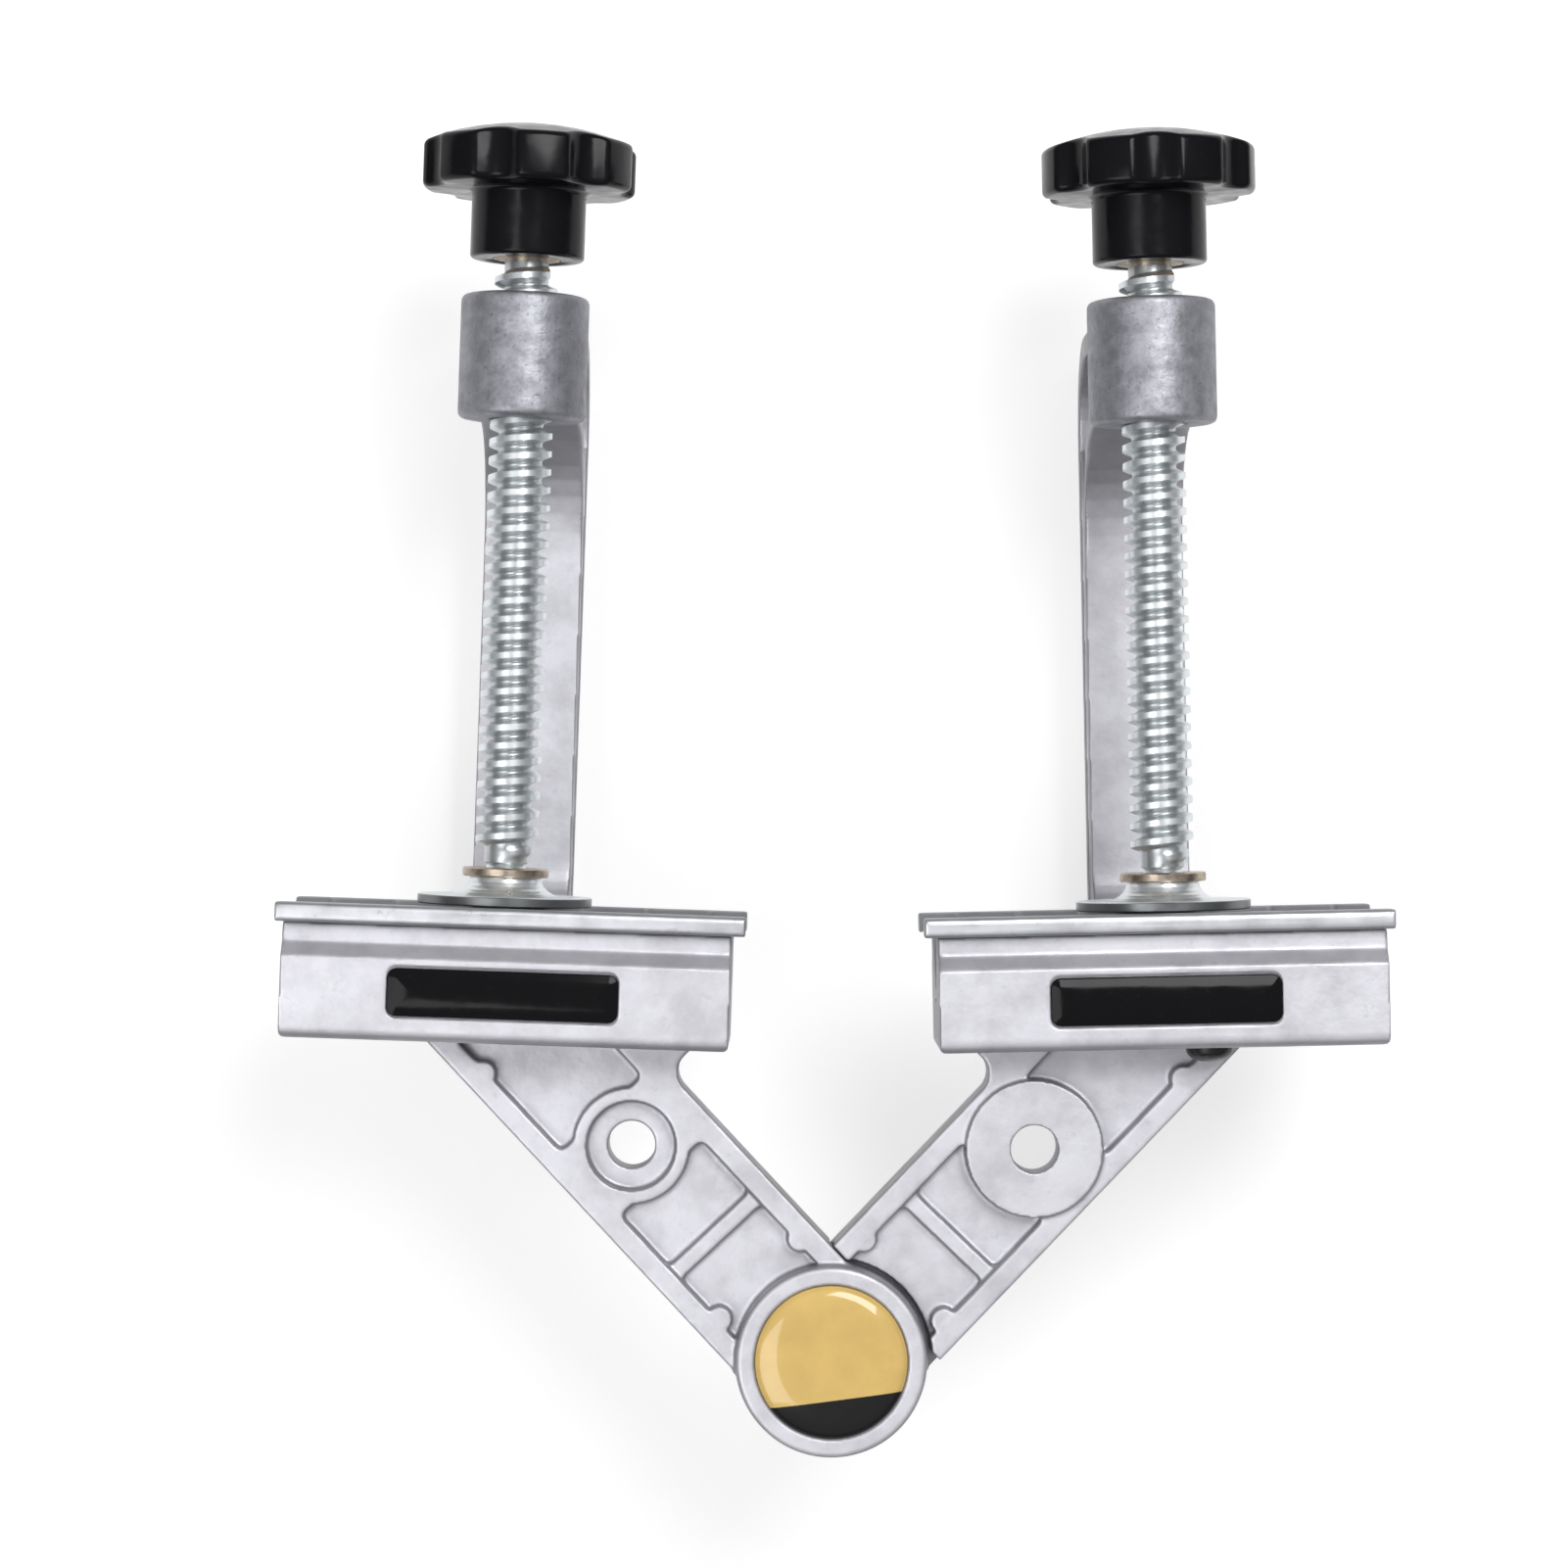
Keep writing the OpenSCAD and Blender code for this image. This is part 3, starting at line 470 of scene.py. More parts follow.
def merged_copy(node, name):
    """A copy of a node's mesh as a bmesh, with its loose triangles joined into whole faces."""
    work = bmesh.new()
    work.from_mesh(frame["nodes"][node].data)
    bmesh.ops.remove_doubles(work, verts=work.verts, dist=0.004 * MM)
    bmesh.ops.dissolve_degenerate(work, edges=work.edges, dist=0.004 * MM)
    bmesh.ops.dissolve_limit(
        work, verts=work.verts, edges=work.edges, angle_limit=math.radians(1), use_dissolve_boundaries=False
    )
    return work


def round_edges(work, width, sharp_degrees=32, steps=2):
    """Rounds every edge of a bmesh that is sharper than the limit."""
    limit = math.radians(sharp_degrees)
    edges = [e for e in work.edges if len(e.link_faces) == 2 and e.calc_face_angle(0) > limit]
    bmesh.ops.bevel(
        work, geom=edges, offset=width, offset_type="OFFSET", segments=steps, profile=0.5,
        affect="EDGES", clamp_overlap=False, miter_outer="ARC", miter_inner="SHARP",
    )


def finished(work, name, materials, sharp_degrees=35):
    """The bmesh as a mesh with its materials."""
    mesh = bpy.data.meshes.new(name)
    work.to_mesh(mesh)
    work.free()
    for material in materials:
        mesh.materials.append(material)
    settle(mesh, sharp_degrees)
    return mesh


def lathe(profile, steps, matrix, name):
    """Turns a profile of (radius, height) round the y axis. A radius of 0 makes a pole."""
    work = bmesh.new()
    rings = []
    for radius, height in profile:
        if radius <= 0:
            rings.append([work.verts.new((0, height, 0))])
            continue
        angles = [2 * math.pi * i / steps for i in range(steps)]
        rings.append([work.verts.new((radius * math.sin(a), height, radius * math.cos(a))) for a in angles])
    bridge_rings(work, rings, steps)
    work.transform(matrix)
    bmesh.ops.recalc_face_normals(work, faces=work.faces)
    return work


def bridge_rings(work, rings, steps):
    """Joins each ring to the next, where a ring of one point is a pole."""
    for lower, upper in zip(rings, rings[1:]):
        for i in range(steps):
            k = (i + 1) % steps
            corners = [lower[i % len(lower)], lower[k % len(lower)], upper[k % len(upper)], upper[i % len(upper)]]
            corners = list(dict.fromkeys(corners))
            if len(corners) > 2:
                work.faces.new(corners)


def arc(centre, radius, start, end, steps):
    """Points of an arc from one angle to another, in degrees."""
    angles = [math.radians(start + (end - start) * i / steps) for i in range(steps + 1)]
    return [(centre[0] + radius * math.cos(a), centre[1] + radius * math.sin(a)) for a in angles]


# Castings and V plates

def prism(outline, low, high, place):
    """A prism as an object, with its outline in millimetres in the frame given by place."""
    work = bmesh.new()
    for height in (low, high):
        work.faces.new([work.verts.new((x * MM, y * MM, height * MM)) for x, y in outline])
    floor, roof = work.faces
    bridge_rings(work, [list(floor.verts), list(roof.verts)], len(outline))
    bmesh.ops.recalc_face_normals(work, faces=work.faces)
    work.transform(place)
    mesh = bpy.data.meshes.new("prism")
    work.to_mesh(mesh)
    work.free()
    new = bpy.data.objects.new("prism", mesh)
    bpy.context.scene.collection.objects.link(new)
    return new


def combine(carrier, operation, parts):
    """A Boolean modifier that takes the parts from the carrier, or adds them."""
    group = bpy.data.collections.new(operation)
    for part in parts:
        group.objects.link(part)
    step = carrier.modifiers.new(operation, "BOOLEAN")
    step.operation = operation
    step.operand_type = "COLLECTION"
    step.collection = group
    step.solver = "EXACT"
    return group


def cast_skin(node, share, cut=(), added=()):
    """The node's shape with a moulded skin: inner and outer edges softly rounded."""
    work = bmesh.new()
    work.from_mesh(frame["nodes"][node].data)
    bmesh.ops.remove_doubles(work, verts=work.verts, dist=0.004 * MM)
    mesh = bpy.data.meshes.new("skin")
    work.to_mesh(mesh)
    work.free()
    carrier = bpy.data.objects.new("skin", mesh)
    bpy.context.scene.collection.objects.link(carrier)
    groups = []
    if cut:
        groups.append(combine(carrier, "DIFFERENCE", cut))
    if added:
        groups.append(combine(carrier, "UNION", added))
    skin = carrier.modifiers.new("Skin", "REMESH")
    skin.mode = "VOXEL"
    skin.voxel_size = sizes().skin_grain
    soft = carrier.modifiers.new("Soft", "SMOOTH")
    soft.factor = 0.5
    soft.iterations = sizes().skin_rounds
    fewer = carrier.modifiers.new("Fewer", "DECIMATE")
    fewer.ratio = share
    seen = bpy.context.evaluated_depsgraph_get()
    made = bpy.data.meshes.new_from_object(carrier.evaluated_get(seen))
    for spare in (carrier, *cut, *added):
        bpy.data.objects.remove(spare)
    for group in groups:
        bpy.data.collections.remove(group)
    work = bmesh.new()
    work.from_mesh(made)
    return work


def mark_painted_shade(mesh, rule):
    """Stores how much painted shade each point of the mesh gets, from 0 to 1, by a rule for its vertices."""
    painted_shade = mesh.attributes.new("painted_shade", "FLOAT", "POINT")
    for vertex, entry in zip(mesh.vertices, painted_shade.data):
        entry.value = min(max(rule(vertex), 0), 1)


STEEP_FROM = 0.985
STEEP_TO = 0.7


# Upright walls get painted shade by this measure
def steepness(vertex):
    """0 where the surface is level, and 1 where it stands upright."""
    return (STEEP_FROM - abs(vertex.normal.z)) / (STEEP_FROM - STEEP_TO)


def cast_piece(node, name, work, rule=steepness):
    """A casting's mesh as a piece, with its places for painted shade marked (by default its upright walls)."""
    mesh = finished(work, name, [cast_finish(), boss_finish()], 60)
    mark_painted_shade(mesh, rule)
    return piece(name, mesh, body_of(node), node)


# Sizes of the arms in millimetres, from the pivot along the arm and from its middle plane
ARM_FACE = 7.0
POCKET_FLOOR = 3.2
POCKET_SIDE = 12.3
RING_RADIUS = 21.1
LUG_RADIUS = 21.3
ARM_HALF = 17.3
RIB_AT = 37.6
RIB_CUT = 4.3
RIB_DROP = 1.2
HOLE_AT = 64.8
HOLE_BOSS = 12.8
JAW_LINE = 96.17
CORNER = 2.4
SPOT = 2.8
SPOTS = ((24.3, 13.3), (23.5, -11.9), (69.1, 12.9), (98.8, -13.1))


def boss_corner(along, across):
    """Outline that rounds one corner between the boss of the mounting hole and a rim."""
    y = POCKET_SIDE - CORNER
    x = math.sqrt((HOLE_BOSS + CORNER) ** 2 - y**2)
    end = 270 - math.degrees(math.atan2(x, y))
    outline = arc((x, y), CORNER, 90, end, 8)
    outline += [(outline[-1][0] * 0.9, outline[-1][1] * 0.9), (x * 0.5, POCKET_SIDE + 1), (x, POCKET_SIDE + 1)]
    return [(HOLE_AT + along * px, across * py) for px, py in outline]


def arm_cutters(place):
    """What the arm's skin loses: pockets run out to the ring and the jaw, the rib lies lower, the lug is trim."""
    half = math.degrees(math.asin(POCKET_SIDE / RING_RADIUS))
    to_ring = arc((0, 0), RING_RADIUS + 0.05, -half, half, 16)
    to_ring += [(RIB_AT - 8, POCKET_SIDE), (RIB_AT - 8, -POCKET_SIDE)]
    rib = [(RIB_AT - RIB_CUT, -POCKET_SIDE), (RIB_AT + RIB_CUT, -POCKET_SIDE)]
    rib += [(RIB_AT + RIB_CUT, POCKET_SIDE), (RIB_AT - RIB_CUT, POCKET_SIDE)]
    back = 6
    to_jaw = [(JAW_LINE + POCKET_SIDE, -POCKET_SIDE), (JAW_LINE - POCKET_SIDE, POCKET_SIDE)]
    to_jaw += [(JAW_LINE - POCKET_SIDE - back, POCKET_SIDE), (JAW_LINE + POCKET_SIDE - back, -POCKET_SIDE)]
    past = math.degrees(math.asin(ARM_HALF / LUG_RADIUS))
    trim = arc((0, 0), LUG_RADIUS, past, 360 - past, 48) + arc((0, 0), LUG_RADIUS + 2, 360 - past, past, 48)
    above = ARM_FACE + 5
    parts = [prism(trim, -above, above, place)]
    for face in (1, -1):
        for outline, low in ((to_ring, POCKET_FLOOR), (to_jaw, POCKET_FLOOR), (rib, ARM_FACE - RIB_DROP)):
            parts.append(prism(outline, face * low, face * above, place))
    return parts


def arm_fillers(place):
    """What the arm's skin gains: rounded corners at the boss, and round ejector spots."""
    parts = []
    for face in (1, -1):
        for along in (1, -1):
            for across in (1, -1):
                parts.append(prism(boss_corner(along, across), face * 2, face * (ARM_FACE - 0.02), place))
        for spot in SPOTS:
            parts.append(prism(arc(spot, SPOT, 0, 345, 23), face * 2, face * (ARM_FACE - 0.1), place))
    return parts


def dress_arm(side):
    """An arm with its moulded skin."""
    node = f"{side}_arm"
    place = arm_frame(side)
    cast_piece(node, f"{side}_arm_casting", cast_skin(node, 0.35, arm_cutters(place), arm_fillers(place)))


def dress_frame(side):
    """A clamp frame with its moulded skin, the boss in its darker as-cast finish, and painted shade on upright
    walls and on the spine below the boss.
    """
    node = f"{side}_clamp_frame"
    work = cast_skin(node, 0.2)
    to_spindle = spindle_frame(side).inverted()
    boss_low, boss_high = boss_reach(side)
    for face in work.faces:
        centre = to_spindle @ face.calc_center_median()
        on_boss = boss_low < centre.y < boss_high and math.hypot(centre.x, centre.z) < BOSS_RADIUS + 0.1 * MM
        face.material_index = 1 if on_boss else 0

    def painted_shade_rule(vertex):
        """Painted shade: upright walls, and the spine where it comes out from under the boss, darkest next to the
        boss.
        """
        below = boss_low - (to_spindle @ vertex.co).y
        near = 1 - below / SHADE_REACH if below > 0 else 0
        return max(steepness(vertex), near)

    cast_piece(node, f"{side}_frame_casting", work, painted_shade_rule)


BOSS_RADIUS = 14.25 * MM
BOSS_LENGTH = 27.5 * MM
SHADE_REACH = 19 * MM


def boss_reach(side):
    """The boss's lowest and highest point along the spindle's axis."""
    high = reach_along(side, f"{side}_clamp_frame")[1]
    return high - BOSS_LENGTH - 0.1 * MM, high + 0.1 * MM


def dress_v_plate(side):
    """A V plate with soft edges. Its V ends flush with the block, and only the lips stand past it."""
    node = f"{side}_v_plate"
    place = spindle_frame(side)
    reach = LIP_REACH[side]
    low = reach_along(side, node)[0] / MM
    lip_under = reach_along(side, node)[1] / MM - LIP_HEIGHT
    cut = []
    for start, end in ((reach[0] - 4, reach[0]), (reach[1], reach[1] + 4)):
        outline = [(start, low - 1), (end, low - 1), (end, lip_under), (start, lip_under)]
        cut.append(prism(outline, -30, 30, place))
    mesh = finished(cast_skin(node, 0.3, cut), f"{side}_jaw_liner", [plate_finish()], 60)
    # Painted shade on the plate's upright faces
    mark_painted_shade(mesh, steepness)
    return piece(f"{side}_jaw_liner", mesh, body_of(node), node)


# Ends of the jaw block beside the spindle axis, and height of the lips, in millimetres
LIP_REACH = {"left": (-47, 51), "right": (-51, 47)}
LIP_HEIGHT = 4.3


# Spindles

def thread_tree():
    """Node group that makes one right-hand thread, with its ends run out into the core."""
    tree = bpy.data.node_groups.new("Spindle Thread", "GeometryNodeTree")
    face = tree.interface
    face.new_socket("Geometry", in_out="OUTPUT", socket_type="NodeSocketGeometry")
    for label, kind in (
        ("Outer Radius", "NodeSocketFloat"), ("Core Radius", "NodeSocketFloat"), ("Pitch", "NodeSocketFloat"),
        ("Low", "NodeSocketFloat"), ("High", "NodeSocketFloat"), ("Steps", "NodeSocketInt"),
        ("Crest Half", "NodeSocketFloat"), ("Root Half", "NodeSocketFloat"), ("Finish", "NodeSocketMaterial"),
    ):
        face.new_socket(label, in_out="INPUT", socket_type=kind)
    given = tree.nodes.new("NodeGroupInput").outputs
    result = tree.nodes.new("NodeGroupOutput")
    across = 13

    def put(node, key, value):
        if isinstance(value, bpy.types.NodeSocket):
            tree.links.new(value, node.inputs[key])
        else:
            node.inputs[key].default_value = value

    def maths(operation, a, b=0.0, c=0.0):
        node = tree.nodes.new("ShaderNodeMath")
        node.operation = operation
        for key, value in enumerate((a, b, c)):
            put(node, key, value)
        return node.outputs[0]

    def ramp(value, low, high, to_low, to_high, smooth=False):
        node = tree.nodes.new("ShaderNodeMapRange")
        node.interpolation_type = "SMOOTHSTEP" if smooth else "LINEAR"
        for key, entry in (("Value", value), ("From Min", low), ("From Max", high), ("To Min", to_low), ("To Max", to_high)):
            put(node, key, entry)
        return node.outputs["Result"]

    # The rows of the grid go round the axis, and its columns go across one pitch
    length = maths("SUBTRACT", given["High"], given["Low"])
    turns = maths("ADD", maths("CEIL", maths("DIVIDE", length, given["Pitch"])), 1)
    rows = maths("ADD", maths("MULTIPLY", turns, given["Steps"]), 1)
    grid = tree.nodes.new("GeometryNodeMeshGrid")
    put(grid, "Vertices X", rows)
    put(grid, "Vertices Y", across)
    index = tree.nodes.new("GeometryNodeInputIndex").outputs[0]
    row = maths("FLOOR", maths("DIVIDE", maths("ADD", index, 0.5), across))
    column = maths("SUBTRACT", index, maths("MULTIPLY", row, across))
    share = maths("DIVIDE", column, across - 1)
    turn = maths("DIVIDE", row, given["Steps"])
    angle = maths("MULTIPLY", turn, 2 * math.pi)

    # Height of the ridge's middle and of each point, held between the thread's two ends
    start = maths("SUBTRACT", given["Low"], given["Pitch"])
    middle = maths("MULTIPLY_ADD", maths("ADD", turn, 0.5), given["Pitch"], start)
    height = maths("MULTIPLY_ADD", maths("ADD", turn, share), given["Pitch"], start)
    height = maths("MINIMUM", maths("MAXIMUM", height, given["Low"]), given["High"])

    # The ridge is a trapezoid that runs out near both ends
    from_middle = maths("ABSOLUTE", maths("SUBTRACT", share, 0.5))
    ridge = ramp(from_middle, given["Crest Half"], given["Root Half"], 1, 0)
    near_low = maths("DIVIDE", maths("SUBTRACT", middle, given["Low"]), given["Pitch"])
    near_high = maths("DIVIDE", maths("SUBTRACT", given["High"], middle), given["Pitch"])
    run_out = ramp(maths("MINIMUM", near_low, near_high), 0.4, 1.1, 0, 1, smooth=True)
    depth = maths("SUBTRACT", given["Outer Radius"], given["Core Radius"])
    radius = maths("MULTIPLY_ADD", maths("MULTIPLY", ridge, run_out), depth, given["Core Radius"])

    place = tree.nodes.new("ShaderNodeCombineXYZ")
    put(place, "X", maths("MULTIPLY", radius, maths("SINE", angle)))
    put(place, "Y", height)
    put(place, "Z", maths("MULTIPLY", radius, maths("COSINE", angle)))
    steps = [
        ("GeometryNodeSetPosition", {"Position": place.outputs[0]}),
        ("GeometryNodeMergeByDistance", {"Distance": 0.01 * MM}),
        ("GeometryNodeSetShadeSmooth", {}),
        ("GeometryNodeRealizeInstances", {}),
        ("GeometryNodeSetMaterial", {"Material": given["Finish"]}),
    ]
    made = grid.outputs["Mesh"]
    for kind, inputs in steps:
        node = tree.nodes.new(kind)
        tree.links.new(made, node.inputs["Geometry"])
        for key, value in inputs.items():
            put(node, key, value)
        made = node.outputs["Geometry"]
    tree.links.new(made, result.inputs["Geometry"])
    return tree


def run_tree(tree, name, values):
    """The mesh that a node group makes with the given inputs."""
    carrier = bpy.data.objects.new(name, bpy.data.meshes.new(name))
    bpy.context.scene.collection.objects.link(carrier)
    modifier = carrier.modifiers.new("Nodes", "NODES")
    modifier.node_group = tree
    for item in tree.interface.items_tree:
        if item.in_out == "INPUT" and item.name in values:
            modifier[item.identifier] = values[item.name]
    seen = bpy.context.evaluated_depsgraph_get()
    mesh = bpy.data.meshes.new_from_object(carrier.evaluated_get(seen))
    carrier.modifiers.remove(modifier)
    bpy.data.objects.remove(carrier)
    return mesh


def make_spindle(side, tree):
    """A spindle: its thread, and the neck, ball and shank turned onto the thread's core."""
    node = f"{side}_spindle"
    place = spindle_frame(side)
    low, high = reach_along(side, node)
    outer = radius_of(side, node)
    core = outer - sizes().thread_depth
    ring_high = reach_along(side, f"{side}_pad_ring")[1]
    thread_low = ring_high + 1.2 * MM
    thread_high = reach_along(side, f"{side}_knob_insert")[0] - 0.6 * MM
    steps = sizes().thread_steps
    values = {
        "Outer Radius": outer, "Core Radius": core, "Pitch": sizes().thread_pitch,
        "Low": thread_low, "High": thread_high, "Steps": steps,
        "Crest Half": 0.17, "Root Half": 0.36, "Finish": zinc_finish(),
    }
    work = bmesh.new()
    work.from_mesh(run_tree(tree, f"{side}_thread", values))
    ball = 5 * MM
    neck = 3.8 * MM
    shank = 4.7 * MM
    ball_middle = low + ball
    neck_start = math.degrees(math.asin(neck / ball))
    below = [(0, low)]
    below += [(x, y) for x, y in arc((0, ball_middle), ball, -78, 90 - neck_start, 12)]
    below += [(neck, thread_low - 0.5 * MM), (core, thread_low)]
    above = [(core, thread_high), (shank, thread_high + 0.6 * MM), (shank, high - 0.3 * MM)]
    above += [(shank - 0.3 * MM, high), (0, high)]
    for profile in (below, above):
        part = lathe(profile, steps, Matrix.Identity(4), "turned")
        mesh = bpy.data.meshes.new("turned")
        part.to_mesh(mesh)
        part.free()
        work.from_mesh(mesh)
        bpy.data.meshes.remove(mesh)
    bmesh.ops.remove_doubles(work, verts=work.verts, dist=0.02 * MM)
    bmesh.ops.recalc_face_normals(work, faces=work.faces)
    for face in work.faces:
        face.material_index = 0
    work.transform(place)
    mesh = finished(work, f"{side}_screw_spindle", [zinc_finish()], 50)
    to_axis = place.inverted()

    def depth(vertex):
        """Painted shade: 0 on the thread's crest and 1 at its root, and 0.3 off the thread."""
        local = to_axis @ vertex.co
        in_thread = thread_low < local.y < thread_high
        return (outer - math.hypot(local.x, local.z)) / (outer - core) if in_thread else 0.3

    # Painted shade in the thread's roots
    mark_painted_shade(mesh, depth)
    return piece(f"{side}_screw_spindle", mesh, body_of(node), node)


# Knobs

def lobed_radius(angle, outer, soft):
    """Radius of the knob's outline at an angle from the middle of a hollow, with soft corners."""
    scallop = sizes().scallop_radius
    reach = outer + scallop - sizes().scallop_depth
    pitch = 2 * math.pi / sizes().knob_lobes
    angle = (angle + pitch / 2) % pitch - pitch / 2
    inside = scallop**2 - (reach * math.sin(angle)) ** 2
    if inside <= 0:
        hollow = reach * math.cos(angle) + reach * math.sin(abs(angle)) - scallop
    else:
        hollow = reach * math.cos(angle) - math.sqrt(inside)
    gap = max(soft - abs(outer - hollow), 0) / soft
    return min(outer, hollow) - gap * gap * soft / 4


def make_knob(side, turn_degrees):
    """A knob: hub, lobed disc and dome in one moulding, open below for its insert."""
    node = f"{side}_knob"
    place = spindle_frame(side)
    hub_low, top = reach_along(side, node)
    insert_low, insert_high = reach_along(side, f"{side}_knob_insert")
    outer = radius_of(side, node)
    bore = radius_of(side, f"{side}_knob_insert") + 0.05 * MM
    hub = 12.7 * MM
    rim_low = hub_low + 15 * MM
    rim_top = rim_low + 10.2 * MM
    edge = 1.5 * MM
    dome_rise = top - rim_top
    dome_radius = (outer**2 + dome_rise**2) / (2 * dome_rise)
    dome_middle = top - dome_radius

    def dome(radius):
        return dome_middle + math.sqrt(dome_radius**2 - radius**2)

    steps = 24 * sizes().knob_lobes
    work = bmesh.new()
    angles = [2 * math.pi * i / steps for i in range(steps)]
    # A hollow faces the viewer at an angle of 0
    start = math.radians(turn_degrees)
    outline = [lobed_radius(a - start, outer, 1.6 * MM) for a in angles]

    def ring(points):
        made = []
        for a, (radius, height) in zip(angles, points):
            made.append(work.verts.new((radius * math.sin(a), height, radius * math.cos(a))))
        return made

    bore_top = insert_high + 1 * MM
    rings = [[work.verts.new((0, bore_top, 0))]]
    turned = [(bore, bore_top), (bore, hub_low + 0.2 * MM), (bore + 0.2 * MM, hub_low)]
    turned += arc((hub - 0.8 * MM, hub_low + 0.8 * MM), 0.8 * MM, -90, 0, 4)
    turned += arc((hub + 1.2 * MM, rim_low - 1.2 * MM), 1.2 * MM, 180, 90, 4)
    rings += [ring([point] * steps) for point in turned]
    for inset, rise in arc((edge, edge), edge, -90, -180, 5):
        rings.append(ring([(r - inset, rim_low + rise) for r in outline]))
    for inset, drop in arc((edge, -edge), edge, 180, 90, 6):
        rings.append(ring([(r - inset, dome(r - edge) + drop) for r in outline]))
    for share in (0.92, 0.84, 0.75, 0.65, 0.54, 0.42, 0.3, 0.18, 0.08):
        # The dome's rings turn from the lobed outline to a circle towards the middle
        mean = outer - 2 * MM
        radii = [share * ((r - edge) * share + mean * (1 - share)) for r in outline]
        rings.append(ring([(r, dome(r)) for r in radii]))
    rings.append([work.verts.new((0, top, 0))])
    bridge_rings(work, rings, steps)
    bmesh.ops.recalc_face_normals(work, faces=work.faces)
    work.transform(place)
    mesh = finished(work, f"{side}_star_knob", [knob_finish()], 50)
    return piece(f"{side}_star_knob", mesh, body_of(node), node)


# Labels

def rounded_ring(half_x, half_y, radius, steps):
    """Points of a rectangle with round corners."""
    radius = min(radius, half_x, half_y)
    points = []
    for sx, sy, start in ((1, 1, 0), (-1, 1, 90), (-1, -1, 180), (1, -1, 270)):
        points += arc((sx * (half_x - radius), sy * (half_y - radius)), radius, start, start + 90, steps)
    return points


def make_jaw_label(side):
    """A jaw's label: a black plate under a clear dome."""
    node = f"{side}_jaw_label"
    low, high = size_of(node)
    place = spindle_frame(side)
    lean = place.to_3x3().to_4x4()
    middle = (low + high) / 2
    half_x = 25.2 * MM
    half_y = 5.25 * MM
    edge = 0.35 * MM
    rise = high.z - low.z
    corner = sizes().label_corner
    rings = [(0, 0), (0, rise * 0.42)]
    rings += [(inset, rise * 0.42 + up) for inset, up in arc((edge, 0), edge, 180, 90, 4)[1:]]
    shoulder = rise * 0.42 + edge
    for share in (0.16, 0.3, 0.45, 0.6, 0.75, 0.88, 0.96):
        inset = edge + (half_y - edge) * share
        rings.append((inset, shoulder + (rise - shoulder) * (1 - (1 - share) ** 2.2)))
    work = bmesh.new()
    made = []
    for inset, height in rings:
        outline = rounded_ring(half_x - inset, half_y - inset, max(corner - inset, 0.12 * MM), 6)
        made.append([work.verts.new((x, y, height)) for x, y in outline])
    bridge_rings(work, made, len(made[0]))
    work.faces.new(made[0])
    work.faces.new(made[-1])
    bmesh.ops.recalc_face_normals(work, faces=work.faces)
    work.transform(Matrix.Translation((middle.x, middle.y, low.z)) @ lean)
    mesh = finished(work, f"{side}_jaw_badge", [jaw_label_finish()], 60)
    return piece(f"{side}_jaw_badge", mesh, body_of(node), node)


def make_round_label():
    """The round label on the pivot's cap: gold, with a black segment at the bottom."""
    low, high = size_of("pivot_label")
    middle = (low + high) / 2
    radius = (high.x - low.x) / 2
    rise = high.z - low.z
    edge = 0.5 * MM
    shoulder = rise * 0.45
    profile = [(0, 0), (radius, 0), (radius, shoulder - edge)]
    profile += arc((radius - edge, shoulder - edge), edge, 0, 75, 4)
    for share in (0.965, 0.93, 0.89, 0.84, 0.78, 0.7, 0.58, 0.4, 0.2):
        profile.append((radius * share, shoulder + (rise - shoulder) * (1 - share**7)))
    profile.append((0, rise))
    stand = Matrix.Translation((middle.x, middle.y, low.z)) @ Matrix.Rotation(math.pi / 2, 4, "X")
    work = lathe(profile, 96, stand, "cap")
    chord = Vector((middle.x, middle.y - 8.3 * MM, 0))
    mesh = finished(work, "round_badge", [round_label_finish(chord, math.tan(math.radians(7.7)))], 60)
    return piece("round_badge", mesh, body_of("pivot_label"), "pivot_label")


# Pads and fasteners keep their CAD meshes

PAD_EDGE = 2.1 * MM


def repaint(node, material):
    """Gives a CAD node a finish."""
    shape = frame["nodes"][node]
    for slot in shape.material_slots:
        slot.material = material


# Stage

def shows_background(tree):
    """1 for the rays that see the background: from the camera, or by way of metal or glass."""
    ray = tree.nodes.new("ShaderNodeLightPath").outputs
    most = ray["Is Camera Ray"]
    for name in ("Is Glossy Ray", "Is Transmission Ray"):
        larger = tree.nodes.new("ShaderNodeMath")
        larger.operation = "MAXIMUM"
        tree.links.new(most, larger.inputs[0])
        tree.links.new(ray[name], larger.inputs[1])
        most = larger.outputs[0]
    return most


FLOOR_LIFT = 0.62


def floor_material():
    """A pale floor that reads white where no shadow falls."""
    material = bpy.data.materials.new("studio_floor")
    material.use_nodes = True
    tree = material.node_tree
    shader = tree.nodes["Principled BSDF"]
    shader.inputs["Base Color"].default_value = (*colours().floor, 1)
    shader.inputs["Roughness"].default_value = 0.9
    shader.inputs["Specular IOR Level"].default_value = 0.0
    shader.inputs["Emission Color"].default_value = (1, 1, 1, 1)
    lift = tree.nodes.new("ShaderNodeMath")
    lift.operation = "MULTIPLY"
    lift.inputs[1].default_value = FLOOR_LIFT
    tree.links.new(shows_background(tree), lift.inputs[0])
    tree.links.new(lift.outputs[0], shader.inputs["Emission Strength"])
    return material


def make_floor():
    """The floor, a hair under the clamp's backs."""
    work = bmesh.new()
    bmesh.ops.create_grid(work, x_segments=1, y_segments=1, size=6)
    bmesh.ops.translate(work, verts=work.verts, vec=(0, 0, -0.05 * MM))
    mesh = bpy.data.meshes.new("floor")
    work.to_mesh(mesh)
    work.free()
    mesh.materials.append(floor_material())
    new = bpy.data.objects.new("floor", mesh)
    bpy.context.scene.collection.objects.link(new)
    return new


